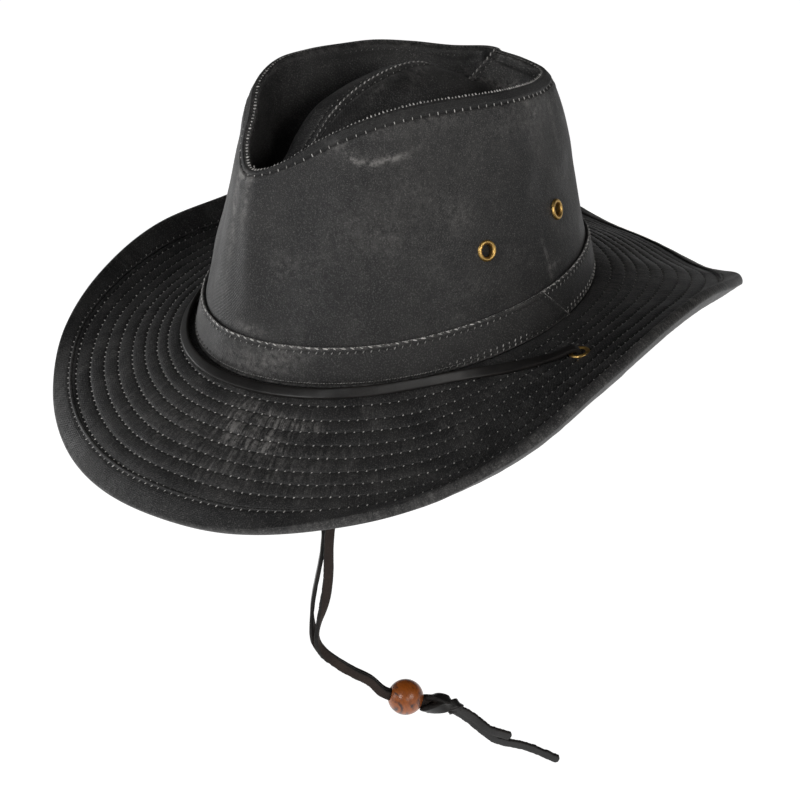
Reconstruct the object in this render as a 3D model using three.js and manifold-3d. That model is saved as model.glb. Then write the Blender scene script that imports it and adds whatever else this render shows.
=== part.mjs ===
// A bush hat in waxed cloth: a dented crown, a quilted brim with rolled sides, and a leather chin lace.
// Millimetres, +Z up. The front of the hat faces -Y and the wearer's left is +X.
// The origin is the middle of the head opening, where the crown meets the brim.
import * as THREE from 'three';
import { mergeVertices } from 'three/addons/utils/BufferGeometryUtils.js';
import Module from 'manifold-3d';

const wasm = await Module();
wasm.setup();

// Crown and band
const headLength = 203;        // inside the crown at its foot, front to back
const headWidth = 163;         // inside the crown at its foot, side to side
const crownHeight = 120;       // the height that the rim's shares are taken of
const tipLength = 150;         // the crown's rim, front to back
const tipWidth = 100;          // the crown's rim, side to side
const tipDip = 34;             // the deepest part of the valley in the dented top
const crownBulge = 5;          // how far the crown's side stands out from a straight slope
const cloth = 1.6;             // the crown's and the band's cloth, with its seam layers
const gap = 0.3;               // between pieces that touch
const tipSeat = 0.6;           // between the dented top's edge and the crown's side, which both curve
const bandSeat = 0.4;          // between the band and the crown's side, which both curve
const bandHeight = 19.3;       // the band's top seam above the brim

// Brim
const brimReach = 75;          // the brim's width in plan
const brimRoll = 33;           // how far the brim's edge rises or falls
const brimSag = 13;            // how far the rolled sides hang below a straight line from crown to edge
const brimThickness = 2.6;     // the quilted brim
const crownTuck = 2.7;         // how far the crown's side reaches down past the brim's underside
const bindingWidth = 10;       // each leaf of the strip folded over the brim's edge
const bindingCloth = 1;        // that strip's own thickness

// Chin lace and what is on it
const laceWidth = 5;
const laceThickness = 2;
const laceBevel = 0.5;
const laceSeat = 0.5;          // under the lace where it lies on the brim
const laceTilt = 42;           // degrees that the lace leans against the band
const beadDiameter = 17;
const beadClearance = 0.5;     // round the two strands in the bead
const knotLength = 21;
const knotWidth = 14;
const knotDepth = 11.2;

// Eyelets
const eyeletBore = laceWidth + 1;
const eyeletFlange = 10.5;     // the flange seen from outside
const eyeletBack = 9.4;        // the flange on the inside
const eyeletMetal = 0.5;       // the brass sheet
const eyeletSeat = 0.4;        // between a flange and the cloth, which is curved
const frontEyeletAngle = 89;   // the crown's eyelets, from the front of the hat
const backEyeletAngle = 122;
const eyeletHeight = 47.5;
const brimEyeletAngle = 100;   // the brim's eyelets, where the lace goes through
const brimEyeletOut = 28.5;    // from the crown, measured in plan

// How finely the faceted solids are made
const stations = 60;
const brimSteps = 4;
const tipSteps = 10;
const eyeletSides = 10;
const beadSides = 16;
const beadArcs = 8;
const knotSides = 12;
const knotRings = 8;
const frontLaceSteps = 44;
const hangingLaceSteps = 32;
const tailSteps = 8;
const nudge = 0.01;            // the step that a surface's slope is measured over, as a share
const mergeDistance = 1e-3;

// Angles are in degrees from the front of the hat, and each table row serves both sides
// The crown's rim: across and along are shares of half the tip's width and length,
// and height is a share of the crown's height
const rimRows = [
  { angle: 0, across: 0, along: -0.985, height: 0.76 },
  { angle: 15, across: 0.288, along: -0.895, height: 0.804 },
  { angle: 30, across: 0.51, along: -0.726, height: 0.885 },
  { angle: 45, across: 0.743, along: -0.571, height: 0.952 },
  { angle: 60, across: 0.896, along: -0.349, height: 0.985 },
  { angle: 75, across: 0.94, along: -0.093, height: 0.977 },
  { angle: 90, across: 0.957, along: 0.168, height: 0.952 },
  { angle: 105, across: 0.945, along: 0.421, height: 0.924 },
  { angle: 120, across: 0.826, along: 0.657, height: 0.888 },
  { angle: 135, across: 0.642, along: 0.876, height: 0.851 },
  { angle: 150, across: 0.433, along: 1.034, height: 0.843 },
  { angle: 165, across: 0.175, along: 0.992, height: 0.869 },
  { angle: 180, across: 0, along: 0.905, height: 0.895 },
];

// How far the crown's side bulges at each station, as a share of crownBulge
const bulgeRows = [
  { angle: 0, out: 0.5 },
  { angle: 30, out: 0.65 },
  { angle: 60, out: 0.55 },
  { angle: 90, out: 0.45 },
  { angle: 120, out: 0.72 },
  { angle: 150, out: 1.09 },
  { angle: 180, out: 1.23 },
];

// The crown's section from the foot (up 0) to the rim (up 1), as a share of the bulge
const crownSection = [
  { up: 0, out: 0 },
  { up: 0.25, out: 0.35 },
  { up: 0.5, out: 0.6 },
  { up: 0.75, out: 0.92 },
  { up: 0.88, out: 1 },
  { up: 0.95, out: 0.8 },
  { up: 1, out: 0.3 },
];

// Levels of the crown's side above the band, as shares of its height, up to the rim
const crownLevels = [0.38, 0.57, 0.75, 0.88, 0.95, 1];

// The seam over the middle of the dented top, in the rim's shares, from the front pinch to the back,
// and the depth of the valley beside it as a share of tipDip
const seamRows = [
  { angle: 0, along: -0.985, height: 0.76, valley: 0 },
  { angle: 15, along: -0.88, height: 0.668, valley: 0.42 },
  { angle: 30, along: -0.717, height: 0.672, valley: 0.8 },
  { angle: 45, along: -0.542, height: 0.766, valley: 0.93 },
  { angle: 60, along: -0.4, height: 0.853, valley: 1 },
  { angle: 75, along: -0.242, height: 0.911, valley: 0.96 },
  { angle: 90, along: -0.074, height: 0.945, valley: 0.9 },
  { angle: 105, along: 0.096, height: 0.96, valley: 0.83 },
  { angle: 120, along: 0.243, height: 0.957, valley: 0.75 },
  { angle: 135, along: 0.368, height: 0.929, valley: 0.64 },
  { angle: 150, along: 0.494, height: 0.845, valley: 0.48 },
  { angle: 165, along: 0.643, height: 0.799, valley: 0.25 },
  { angle: 180, along: 0.905, height: 0.895, valley: 0 },
];

// The section of the dented top from the seam (out 0) to the rim (out 1), as a share of the valley's depth
const tipSection = [
  { out: 0, drop: 0 },
  { out: 0.15, drop: 0.02 },
  { out: 0.3, drop: 0.1 },
  { out: 0.42, drop: 0.33 },
  { out: 0.54, drop: 0.72 },
  { out: 0.66, drop: 1 },
  { out: 0.78, drop: 0.95 },
  { out: 0.88, drop: 0.66 },
  { out: 0.95, drop: 0.33 },
  { out: 1, drop: 0 },
];

// The brim's edge: reach is a share of brimReach, left and right are shares of brimRoll,
// and sag is a share of brimSag, minus where the brim is hollow above
const brimRows = [
  { angle: 0, reach: 0.931, left: -1.05, right: -1.05, sag: 0.326 },
  { angle: 15, reach: 0.937, left: -1.017, right: -0.997, sag: 0.339 },
  { angle: 30, reach: 0.96, left: -0.952, right: -0.805, sag: 0.191 },
  { angle: 45, reach: 0.992, left: -0.725, right: -0.473, sag: -0.148 },
  { angle: 60, reach: 1.001, left: -0.457, right: -0.189, sag: -0.517 },
  { angle: 75, reach: 0.991, left: -0.012, right: 0.023, sag: -0.772 },
  { angle: 90, reach: 0.928, left: 0.469, right: 0.086, sag: -0.823 },
  { angle: 105, reach: 0.87, left: 0.661, right: 0.299, sag: -0.764 },
  { angle: 120, reach: 0.87, left: 0.544, right: 0.412, sag: -0.685 },
  { angle: 135, reach: 0.926, left: 0.081, right: 0.065, sag: -0.439 },
  { angle: 150, reach: 0.978, left: -0.505, right: -0.555, sag: -0.16 },
  { angle: 165, reach: 0.934, left: -0.985, right: -0.986, sag: 0.07 },
  { angle: 180, reach: 0.925, left: -1.072, right: -1.072, sag: 0.152 },
];

// The brim's section from the crown (out 0) to the edge (out 1), as a share of the sag
const brimSection = [
  { out: 0, drop: 0 },
  { out: 0.2, drop: 0.36 },
  { out: 0.4, drop: 0.66 },
  { out: 0.6, drop: 0.9 },
  { out: 0.75, drop: 1 },
  { out: 0.85, drop: 0.92 },
  { out: 0.92, drop: 0.66 },
  { out: 0.97, drop: 0.3 },
  { out: 1, drop: 0 },
];

// The lace over an eyelet's flange: away from the hole and above the flange, in thicknesses of the lace
const laceOverFlange = [
  { away: 0, above: 0 },
  { away: 0.8, above: 0.95 },
  { away: 2.5, above: 1.1 },
  { away: 4.75, above: 0.7 },
];

// Where the lace lies: out is its distance from the band beyond touching it, lean is 0 flat and 1 tilted
const laceRows = [
  { angle: 90, out: 12.6, lean: 0.3 },
  { angle: 83, out: 6.6, lean: 0.6 },
  { angle: 75, out: 2.1, lean: 0.9 },
  { angle: 65, out: 0.2, lean: 1 },
  { angle: 54, out: 0, lean: 1 },
  { angle: 42, out: 0, lean: 1 },
  { angle: 28, out: 0, lean: 1 },
  { angle: 14, out: 0, lean: 1 },
];

// The hanging lace's route: the strand from the left eyelet, then the one from the right.
// The fourth value turns its width from lying in the photo's plane (0) to edge-on (1)
const leftStrand = [
  [82, 0, -16, 0], [54, -36, -46, 0], [31, -63, -76, 0], [27.5, -68, -89, 0], [26.5, -70.5, -103, 0],
  [25.5, -71.5, -118, 0], [24.5, -73, -129, 0], [23, -75.5, -140, 0], [21.5, -78, -149, 0],
  [20.5, -79.5, -157.5, 0], [21, -79, -163, 0], [22.5, -76.5, -168.5, 0], [25.5, -72, -174.5, 0],
  [29.5, -66, -181, 0], [34, -59, -187.5, 0],
];
const rightStrand = [
  [-82, 0, -16, 0.5], [-46, -38, -44, 0.7], [-2, -65, -76, 1], [20.5, -69, -92, 1], [21, -71, -107.5, 1],
  [20, -73, -117, 1], [18.2, -75.6, -129, 1], [16.9, -77.4, -139, 1], [16.2, -78.5, -149, 0.9],
  [16.4, -78.4, -158, 0.5], [17.2, -77.8, -163.5, 0.2], [19, -75.2, -169.5, 0], [22.2, -70.7, -175.5, 0],
  [26.5, -64.5, -182, 0], [31, -57.5, -188.5, 0],
];
const beadPlace = [43, -44, -198];
const knotPlace = [52.5, -29.5, -204.5];
const longTail = [
  [57, -19.8, -209.4], [59.8, -16.2, -215.3], [64.9, -9.1, -223.4], [71.1, 0, -229.6], [77.5, 9.5, -237.1],
  [84.3, 19.4, -245],
];
const shortTail = [[59.4, -21.3, -209.4], [63, -16.5, -214.5], [68, -9.5, -219.8], [73.7, -1.8, -225]];
const facing = [0.826, -0.563, 0];   // the flat side of the hanging lace looks this way

const radians = THREE.MathUtils.degToRad;
const mix = THREE.MathUtils.lerp;
const vector = ([x, y, z]) => new THREE.Vector3(x, y, z);
const count = (n) => Array.from({ length: n }, (_, i) => i);

// A smooth value between the entries of a list, whose ends are level or run straight on
function smooth(places, values, place, levelEnds) {
  const last = places.length - 1;
  let k = 0;
  while (k < last - 1 && place > places[k + 1]) k += 1;
  const span = places[k + 1] - places[k];
  const slope = (i) => {
    if (levelEnds && (i === 0 || i === last)) return 0;
    const [before, after] = [Math.max(i - 1, 0), Math.min(i + 1, last)];
    return (values[after] - values[before]) / (places[after] - places[before]);
  };
  const s = (place - places[k]) / span;
  const [s2, s3] = [s * s, s * s * s];
  return (2 * s3 - 3 * s2 + 1) * values[k] + (s3 - 2 * s2 + s) * span * slope(k)
    + (3 * s2 - 2 * s3) * values[k + 1] + (s3 - s2) * span * slope(k + 1);
}

const column = (rows, name) => rows.map((row) => row[name]);
const turnOf = (angle) => ((angle % 360) + 360) % 360;

// A table of stations as a function of the angle, mirrored to the other side, where odd flips its sign
function roundTable(rows, name, odd = false) {
  const [angles, values] = [column(rows, 'angle'), column(rows, name)];
  return (angle) => {
    const turned = turnOf(angle);
    const mirrored = turned > 180;
    const value = smooth(angles, values, mirrored ? 360 - turned : turned, !odd);
    return odd && mirrored ? -value : value;
  };
}

const section = (rows, place, name) => (at) => smooth(column(rows, place), column(rows, name), at, false);

const rimAcross = roundTable(rimRows, 'across', true);
const rimAlong = roundTable(rimRows, 'along');
const rimHeight = roundTable(rimRows, 'height');
const sideBulge = roundTable(bulgeRows, 'out');
const crownOut = section(crownSection, 'up', 'out');
const seamAlong = roundTable(seamRows, 'along');
const seamHeight = roundTable(seamRows, 'height');
const valleyDepth = roundTable(seamRows, 'valley');
const tipDrop = section(tipSection, 'out', 'drop');
const edgeReach = roundTable(brimRows, 'reach');
const leftRoll = roundTable(brimRows, 'left');
const rightRoll = roundTable(brimRows, 'right');
const edgeRoll = (angle) => (turnOf(angle) > 180 ? rightRoll(angle) : leftRoll(angle));
const edgeSag = roundTable(brimRows, 'sag');
const brimDrop = section(brimSection, 'out', 'drop');

// A point of the ellipse round the head opening, grown outwards by a margin
function headEllipse(angle, margin) {
  const t = radians(angle);
  const [across, along] = [headWidth / 2 + margin, headLength / 2 + margin];
  return new THREE.Vector3(across * Math.sin(t), -along * Math.cos(t), 0);
}

// The crown's outer face: the share runs from the foot (0) to the rim (1), and drops straight below the foot
function crownFace(angle, share) {
  const top = crownHeight * rimHeight(angle);
  const foot = headEllipse(angle, cloth);
  const rim = new THREE.Vector3(rimAcross(angle) * tipWidth / 2, rimAlong(angle) * tipLength / 2, 0);
  const up = Math.max(share, 0);
  const bulge = crownBulge * sideBulge(angle) * crownOut(up);
  const p = foot.clone().lerp(rim, up).addScaledVector(foot.normalize(), bulge);
  return p.setZ(top * share);
}

// The unit normal of a surface given as a function of an angle and a share
function normalOf(surface, angle, share) {
  const round = surface(angle + 1, share).sub(surface(angle - 1, share));
  const across = surface(angle, share + nudge).sub(surface(angle, share - nudge));
  return round.cross(across).normalize();
}

const crownNormal = (angle, share) => normalOf(crownFace, angle, Math.max(share, nudge));
const crownShare = (angle, z) => z / (crownHeight * rimHeight(angle));
function crownAt(angle, share, offset) {
  return crownFace(angle, share).addScaledVector(crownNormal(angle, share), offset);
}

// The brim's middle face: the share runs from the crown (0) to the edge (1)
function brimFace(angle, share) {
  const inner = headEllipse(angle, cloth + gap);
  const outer = headEllipse(angle, cloth + gap + brimReach * edgeReach(angle));
  return inner.lerp(outer, share)
    .setZ(brimRoll * edgeRoll(angle) * share + brimSag * edgeSag(angle) * brimDrop(share));
}

const brimNormal = (angle, share) => normalOf(brimFace, angle, share).negate();
const brimShare = (angle, distance) => distance / (brimReach * edgeReach(angle));
function brimAt(angle, share, offset) {
  const up = share === 0 ? new THREE.Vector3(0, 0, 1) : brimNormal(angle, share);
  return brimFace(angle, share).addScaledVector(up, offset);
}

// The dented top's upper face on the left side: out runs from the seam (0) to the rim (1)
function tipFace(angle, out) {
  const end = angle < 90 ? 0 : 180;
  const inward = crownNormal(angle, 1).setZ(0).normalize().negate();
  const rim = crownAt(angle, 1, -cloth).addScaledVector(inward, tipSeat);
  rim.x = Math.max(rim.x, gap / 2);
  const seatedEnd = crownAt(end, 1, -cloth).y + tipSeat * Math.cos(radians(end));
  const shift = (seatedEnd - rimAlong(end) * tipLength / 2) * Math.cos(radians(angle)) ** 2;
  const seamY = seamAlong(angle) * tipLength / 2 + shift;
  const seam = new THREE.Vector3(gap / 2, seamY, crownHeight * seamHeight(angle));
  if (angle === end) seam.copy(rim);
  const p = seam.lerp(rim, out);
  p.z -= tipDip * valleyDepth(angle) * tipDrop(out);
  return p;
}

// Merges equal vertices, drops triangles that have no area, and turns the faces outwards
function tidy(geometry) {
  const bare = new THREE.BufferGeometry();
  bare.setAttribute('position', geometry.getAttribute('position').clone());
  if (geometry.index) bare.setIndex(geometry.index.clone());
  const merged = mergeVertices(bare, mergeDistance);
  const at = merged.getAttribute('position');
  const corner = (i) => new THREE.Vector3().fromBufferAttribute(at, i);
  const index = [];
  let volume = 0;
  for (let i = 0; i < merged.index.count; i += 3) {
    const [a, b, c] = [0, 1, 2].map((k) => merged.index.getX(i + k));
    if (a === b || b === c || c === a) continue;
    index.push(a, b, c);
    volume += corner(a).dot(corner(b).cross(corner(c)));
  }
  if (volume < 0) index.reverse();
  merged.setIndex(index);
  return merged;
}

// A closed solid from sections: each section is a loop of points, and a ring of sections closes on itself
function solidFromLoops(loops, ring) {
  const points = loops.flat();
  const size = loops[0].length;
  const index = [];
  count(ring ? loops.length : loops.length - 1).forEach((i) => {
    const next = (i + 1) % loops.length;
    count(size).forEach((j) => {
      const k = (j + 1) % size;
      const [a, b, c, d] = [i * size + j, next * size + j, next * size + k, i * size + k];
      const shorter = points[a].distanceTo(points[c]) <= points[b].distanceTo(points[d]);
      index.push(...(shorter ? [a, b, c, a, c, d] : [a, b, d, b, c, d]));
    });
  });
  if (!ring) {
    const far = (loops.length - 1) * size;
    count(size - 2).forEach((j) => index.push(0, j + 1, j + 2, far, far + j + 2, far + j + 1));
  }
  const geometry = new THREE.BufferGeometry();
  geometry.setAttribute('position', new THREE.Float32BufferAttribute(points.flatMap((p) => p.toArray()), 3));
  geometry.setIndex(index);
  return tidy(geometry);
}

const ringAngles = count(stations).map((i) => i * 360 / stations);
const ringSolid = (profile) => solidFromLoops(ringAngles.map(profile), true);

function toManifold(geometry) {
  const solid = tidy(geometry);
  return new wasm.Manifold(new wasm.Mesh({
    numProp: 3,
    vertProperties: Float32Array.from(solid.getAttribute('position').array),
    triVerts: Uint32Array.from(solid.index.array),
  }));
}

function cut(geometry, cutters) {
  const body = cutters.reduce((solid, cutter) => solid.subtract(toManifold(cutter)), toManifold(geometry));
  const mesh = body.getMesh();
  const result = new THREE.BufferGeometry();
  result.setAttribute('position', new THREE.Float32BufferAttribute(mesh.vertProperties, 3));
  result.setIndex(Array.from(mesh.triVerts));
  return result;
}

const bandLevels = [brimThickness / 2 + gap, bandHeight];

function crownSide() {
  const heights = [-crownTuck - brimThickness / 2, 0, ...bandLevels];
  return ringSolid((angle) => {
    const shares = [...heights.map((z) => crownShare(angle, z)), ...crownLevels];
    const outer = shares.map((share) => crownAt(angle, share, 0));
    const inner = shares.map((share) => crownAt(angle, share, -cloth)).reverse();
    return [...outer, ...inner];
  });
}

function hatBand() {
  return ringSolid((angle) => {
    const shares = bandLevels.map((z) => crownShare(angle, z));
    const outer = shares.map((share) => crownAt(angle, share, bandSeat + cloth));
    const inner = shares.map((share) => crownAt(angle, share, bandSeat)).reverse();
    return [...outer, ...inner];
  });
}

// Half of the dented top: side is 1 for the left and -1 for the right
function tipHalf(side) {
  const outs = count(tipSteps + 1).map((i) => i / tipSteps);
  const under = (angle, out) => {
    const end = angle === 0 || angle === 180;
    const inside = THREE.MathUtils.clamp(out, nudge, 1 - nudge);
    const way = end || out === 1 ? new THREE.Vector3(0, 0, -1) : normalOf(tipFace, angle, inside);
    if (way.z > 0) way.negate();
    if (out === 0) way.x = 0;
    const p = tipFace(angle, out).addScaledVector(way.normalize(), cloth);
    p.x = Math.max(p.x, gap / 2);
    return p;
  };
  return solidFromLoops(ringAngles.filter((angle) => angle <= 180).map((angle) => {
    const top = outs.map((out) => tipFace(angle, out));
    const bottom = outs.map((out) => under(angle, out)).reverse();
    return [...top, ...bottom].map((p) => p.setX(side * p.x));
  }), false);
}

// The shares of the brim's width where the binding starts and where it is half way to the edge
const bindingShares = (angle) => [1, 0.5].map((part) => 1 - brimShare(angle, part * bindingWidth));

function brim() {
  const half = brimThickness / 2;
  return ringSolid((angle) => {
    const [start, middle] = bindingShares(angle);
    const shares = [...count(brimSteps + 1).map((i) => start * i / brimSteps), middle, 1];
    const top = shares.map((share) => brimAt(angle, share, half));
    const bottom = shares.map((share) => brimAt(angle, share, -half)).reverse();
    return [...top, ...bottom];
  });
}

// The strip folded over the brim's edge: its outer face from leaf to leaf, then its inner face back
function brimBinding() {
  const inner = brimThickness / 2 + gap;
  const outer = inner + bindingCloth;
  return ringSolid((angle) => {
    const leaf = bindingShares(angle);
    const outwards = brimFace(angle, 1).sub(brimFace(angle, 1 - nudge)).normalize();
    const beyond = (distance, height) => brimAt(angle, 1, height).addScaledVector(outwards, distance);
    return [
      ...leaf.map((share) => brimAt(angle, share, outer)),
      beyond(0, outer),
      beyond(gap + bindingCloth, inner / 2),
      beyond(gap + bindingCloth, -inner / 2),
      beyond(0, -outer),
      ...leaf.map((share) => brimAt(angle, share, -outer)).reverse(),
      ...leaf.map((share) => brimAt(angle, share, -inner)),
      beyond(gap, -inner),
      beyond(gap, inner),
      ...leaf.map((share) => brimAt(angle, share, inner)).reverse(),
    ];
  });
}

// A turned piece about its own Y axis, from a closed profile of [radius, height] points
function turned(profile, sides) {
  return tidy(new THREE.LatheGeometry(profile.map(([r, y]) => new THREE.Vector2(r, y)), sides));
}

// A brass eyelet through a sheet: a barrel with a wide flange outside and a smaller one inside
const flangeTop = (sheet) => sheet / 2 + eyeletSeat + eyeletMetal;
function eyelet(sheet) {
  const seat = sheet / 2 + eyeletSeat;
  const top = flangeTop(sheet);
  const bore = eyeletBore / 2;
  return turned([
    [bore, -top], [eyeletBack / 2, -top], [eyeletBack / 2, -seat], [bore + eyeletMetal, -seat],
    [bore + eyeletMetal, seat], [eyeletFlange / 2, seat], [eyeletFlange / 2, top], [bore, top], [bore, -top],
  ], eyeletSides);
}

const yAxis = new THREE.Vector3(0, 1, 0);

// The hole that an eyelet's barrel goes through, as a cutter that reaches past both flanges
function eyeletHole(eye) {
  const radius = eyeletBore / 2 + eyeletMetal + gap;
  const depth = 4 * flangeTop(eye.sheet);
  const cutter = new THREE.CylinderGeometry(radius, radius, depth, eyeletSides);
  cutter.applyQuaternion(new THREE.Quaternion().setFromUnitVectors(yAxis, eye.axis));
  return cutter.translate(...eye.place.toArray());
}

const crownEyelets = [
  ['eyelet_left_front', frontEyeletAngle],
  ['eyelet_left_back', backEyeletAngle],
  ['eyelet_right_front', 360 - frontEyeletAngle],
  ['eyelet_right_back', 360 - backEyeletAngle],
].map(([name, angle]) => {
  const share = crownShare(angle, eyeletHeight);
  return { name, sheet: cloth, place: crownAt(angle, share, -cloth / 2), axis: crownNormal(angle, share) };
});

const brimEyelets = [
  ['brim_eyelet_left', brimEyeletAngle],
  ['brim_eyelet_right', 360 - brimEyeletAngle],
].map(([name, angle]) => {
  const share = brimShare(angle, brimEyeletOut);
  return { name, sheet: brimThickness, place: brimFace(angle, share), axis: brimNormal(angle, share) };
});

// The lace's section: a flat strip with bevelled corners
function laceSection() {
  const [w, t] = [laceWidth / 2, laceThickness / 2];
  const [a, b] = [w - laceBevel, t - laceBevel];
  return [[w, -b], [w, b], [a, t], [-a, t], [-w, b], [-w, -b], [-a, -t], [a, -t]];
}

// A leather strip through places that each give a point and the direction of the strip's width there
function strip(places, steps) {
  const route = new THREE.CatmullRomCurve3(column(places, 'point'), false, 'centripetal');
  const sides = new THREE.CatmullRomCurve3(column(places, 'wide'), false, 'centripetal');
  return solidFromLoops(count(steps + 1).map((i) => {
    const centre = route.getPoint(i / steps);
    const along = route.getTangent(i / steps);
    const wide = sides.getPoint(i / steps);
    wide.addScaledVector(along, -wide.dot(along)).normalize();
    const thick = new THREE.Vector3().crossVectors(along, wide);
    return laceSection().map(([w, t]) => centre.clone().addScaledVector(wide, w).addScaledVector(thick, t));
  }), false);
}

// How far under its eyelet the held lace ends and the hanging one begins
const laceEnd = flangeTop(brimThickness) + laceThickness / 2;

// A place of the lace on the brim beside the band, from a row of laceRows
function lyingLace(angle, row) {
  const tilt = radians(laceTilt * row.lean);
  const [w, t] = [laceWidth / 2, laceThickness / 2];
  const out = bandSeat + cloth + w * Math.cos(tilt) + t * Math.sin(tilt) + row.out;
  const height = brimThickness / 2 + laceSeat + w * Math.sin(tilt) + t * Math.cos(tilt);
  const share = brimShare(angle, out);
  const wide = brimFace(angle, share + nudge).sub(brimFace(angle, share)).normalize();
  wide.multiplyScalar(Math.cos(tilt)).addScaledVector(brimNormal(angle, share), -Math.sin(tilt));
  return { point: brimAt(angle, share, height), wide };
}

// The lace from a brim eyelet to the front of the crown: side is 1 for the left and -1 for the right
function laceHalf(eye, side) {
  const lying = laceRows.map((row) => lyingLace(side > 0 ? row.angle : 360 - row.angle, row));
  const inward = lying[0].point.clone().sub(eye.place);
  inward.addScaledVector(eye.axis, -inward.dot(eye.axis)).normalize();
  const wide = new THREE.Vector3().crossVectors(inward, eye.axis).multiplyScalar(side);
  const local = (away, height) => (
    { point: eye.place.clone().addScaledVector(inward, away).addScaledVector(eye.axis, height), wide });
  const over = laceOverFlange.map((row) => (
    local(row.away * laceThickness, flangeTop(brimThickness) + row.above * laceThickness)));
  return [local(0, -laceEnd), local(0, 0), ...over, ...lying];
}

function laceFront() {
  const [left, right] = [laceHalf(brimEyelets[0], 1), laceHalf(brimEyelets[1], -1)];
  return strip([...left, lyingLace(0, laceRows.at(-1)), ...right.reverse()], frontLaceSteps);
}

const flatWay = vector(facing);
const cordWay = vector(knotPlace).sub(vector(beadPlace)).normalize();
const acrossCord = new THREE.Vector3().crossVectors(cordWay, flatWay).normalize();

// The width of a strip that follows a list of points with its flat side facing flatWay
function flatWidths(points) {
  return points.map((point, i) => {
    const ahead = points[Math.min(i + 1, points.length - 1)].clone().sub(points[Math.max(i - 1, 0)]);
    return ahead.cross(flatWay).normalize();
  });
}

// One hanging strand: from just under its eyelet, through the bead beside the other strand, to the knot
function hangingLace(eye, rows, side) {
  const below = [laceEnd + gap, laceEnd + gap + laceThickness];
  const under = below.map((depth) => (
    { point: eye.place.clone().addScaledVector(eye.axis, -depth), wide: yAxis }));
  const points = rows.map(vector);
  const hanging = flatWidths(points).map((wide, i) => (
    { point: points[i], wide: wide.lerp(flatWay, rows[i][3]).normalize() }));
  const toKnot = vector(knotPlace).distanceTo(vector(beadPlace)) - knotLength / 2 - gap;
  const through = [-beadDiameter / 2 - laceThickness, 0, toKnot].map((along) => {
    const point = vector(beadPlace).addScaledVector(cordWay, along);
    return { point: point.addScaledVector(flatWay, side * (laceThickness + gap) / 2), wide: acrossCord };
  });
  return strip([...under, ...hanging, ...through], hangingLaceSteps);
}

function tail(rows) {
  const points = rows.map(vector);
  return strip(flatWidths(points).map((wide, i) => ({ point: points[i], wide })), tailSteps);
}

// A bead drilled for the two strands
function bead() {
  const radius = beadDiameter / 2;
  const bore = Math.hypot(laceWidth, 2 * laceThickness + gap) / 2 + beadClearance;
  const start = Math.asin(bore / radius);
  const arc = count(beadArcs + 1).map((i) => {
    const turn = mix(start, Math.PI - start, i / beadArcs);
    return [radius * Math.sin(turn), -radius * Math.cos(turn)];
  });
  return turned([...arc, arc[0]], beadSides);
}

function knot() {
  return tidy(new THREE.SphereGeometry(0.5, knotSides, knotRings).scale(knotWidth, knotLength, knotDepth));
}

const blackCloth = new THREE.MeshStandardMaterial({ color: '#2f2f30', roughness: 0.75, metalness: 0 });
const brass = new THREE.MeshStandardMaterial({ color: '#b8924c', roughness: 0.3, metalness: 1 });
const leather = new THREE.MeshStandardMaterial({ color: '#2a2625', roughness: 0.5, metalness: 0 });
const wood = new THREE.MeshStandardMaterial({ color: '#8a4a1f', roughness: 0.15, metalness: 0 });
const group = new THREE.Group();

function add(name, geometry, material) {
  const mesh = new THREE.Mesh(geometry, material);
  mesh.name = name;
  group.add(mesh);
  return mesh;
}

// Sets a turned piece at a place with its Y axis along a direction
function seat(mesh, place, axis) {
  mesh.position.copy(place);
  mesh.quaternion.setFromUnitVectors(yAxis, axis);
}

add('crown_side', cut(crownSide(), crownEyelets.map(eyeletHole)), blackCloth);
add('tip_left', tipHalf(1), blackCloth);
add('tip_right', tipHalf(-1), blackCloth);
add('hat_band', hatBand(), blackCloth);
add('brim', cut(brim(), brimEyelets.map(eyeletHole)), blackCloth);
add('brim_binding', brimBinding(), blackCloth);
[...crownEyelets, ...brimEyelets].forEach((eye) => {
  seat(add(eye.name, eyelet(eye.sheet), brass), eye.place, eye.axis);
});
add('lace_front', laceFront(), leather);
add('lace_left', hangingLace(brimEyelets[0], leftStrand, 1), leather);
add('lace_right', hangingLace(brimEyelets[1], rightStrand, -1), leather);
seat(add('bead', bead(), wood), vector(beadPlace), cordWay);
seat(add('chin_knot', knot(), leather), vector(knotPlace), cordWay);
add('tail_long', tail(longTail), leather);
add('tail_short', tail(shortTail), leather);

export default group;
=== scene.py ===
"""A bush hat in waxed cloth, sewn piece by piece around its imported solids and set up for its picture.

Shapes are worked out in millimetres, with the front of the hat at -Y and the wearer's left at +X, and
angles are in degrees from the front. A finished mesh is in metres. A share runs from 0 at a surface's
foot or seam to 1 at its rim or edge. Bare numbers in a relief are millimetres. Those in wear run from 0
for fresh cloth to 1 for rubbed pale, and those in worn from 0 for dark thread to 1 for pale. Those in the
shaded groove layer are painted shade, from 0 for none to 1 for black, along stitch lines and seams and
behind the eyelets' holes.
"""

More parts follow.
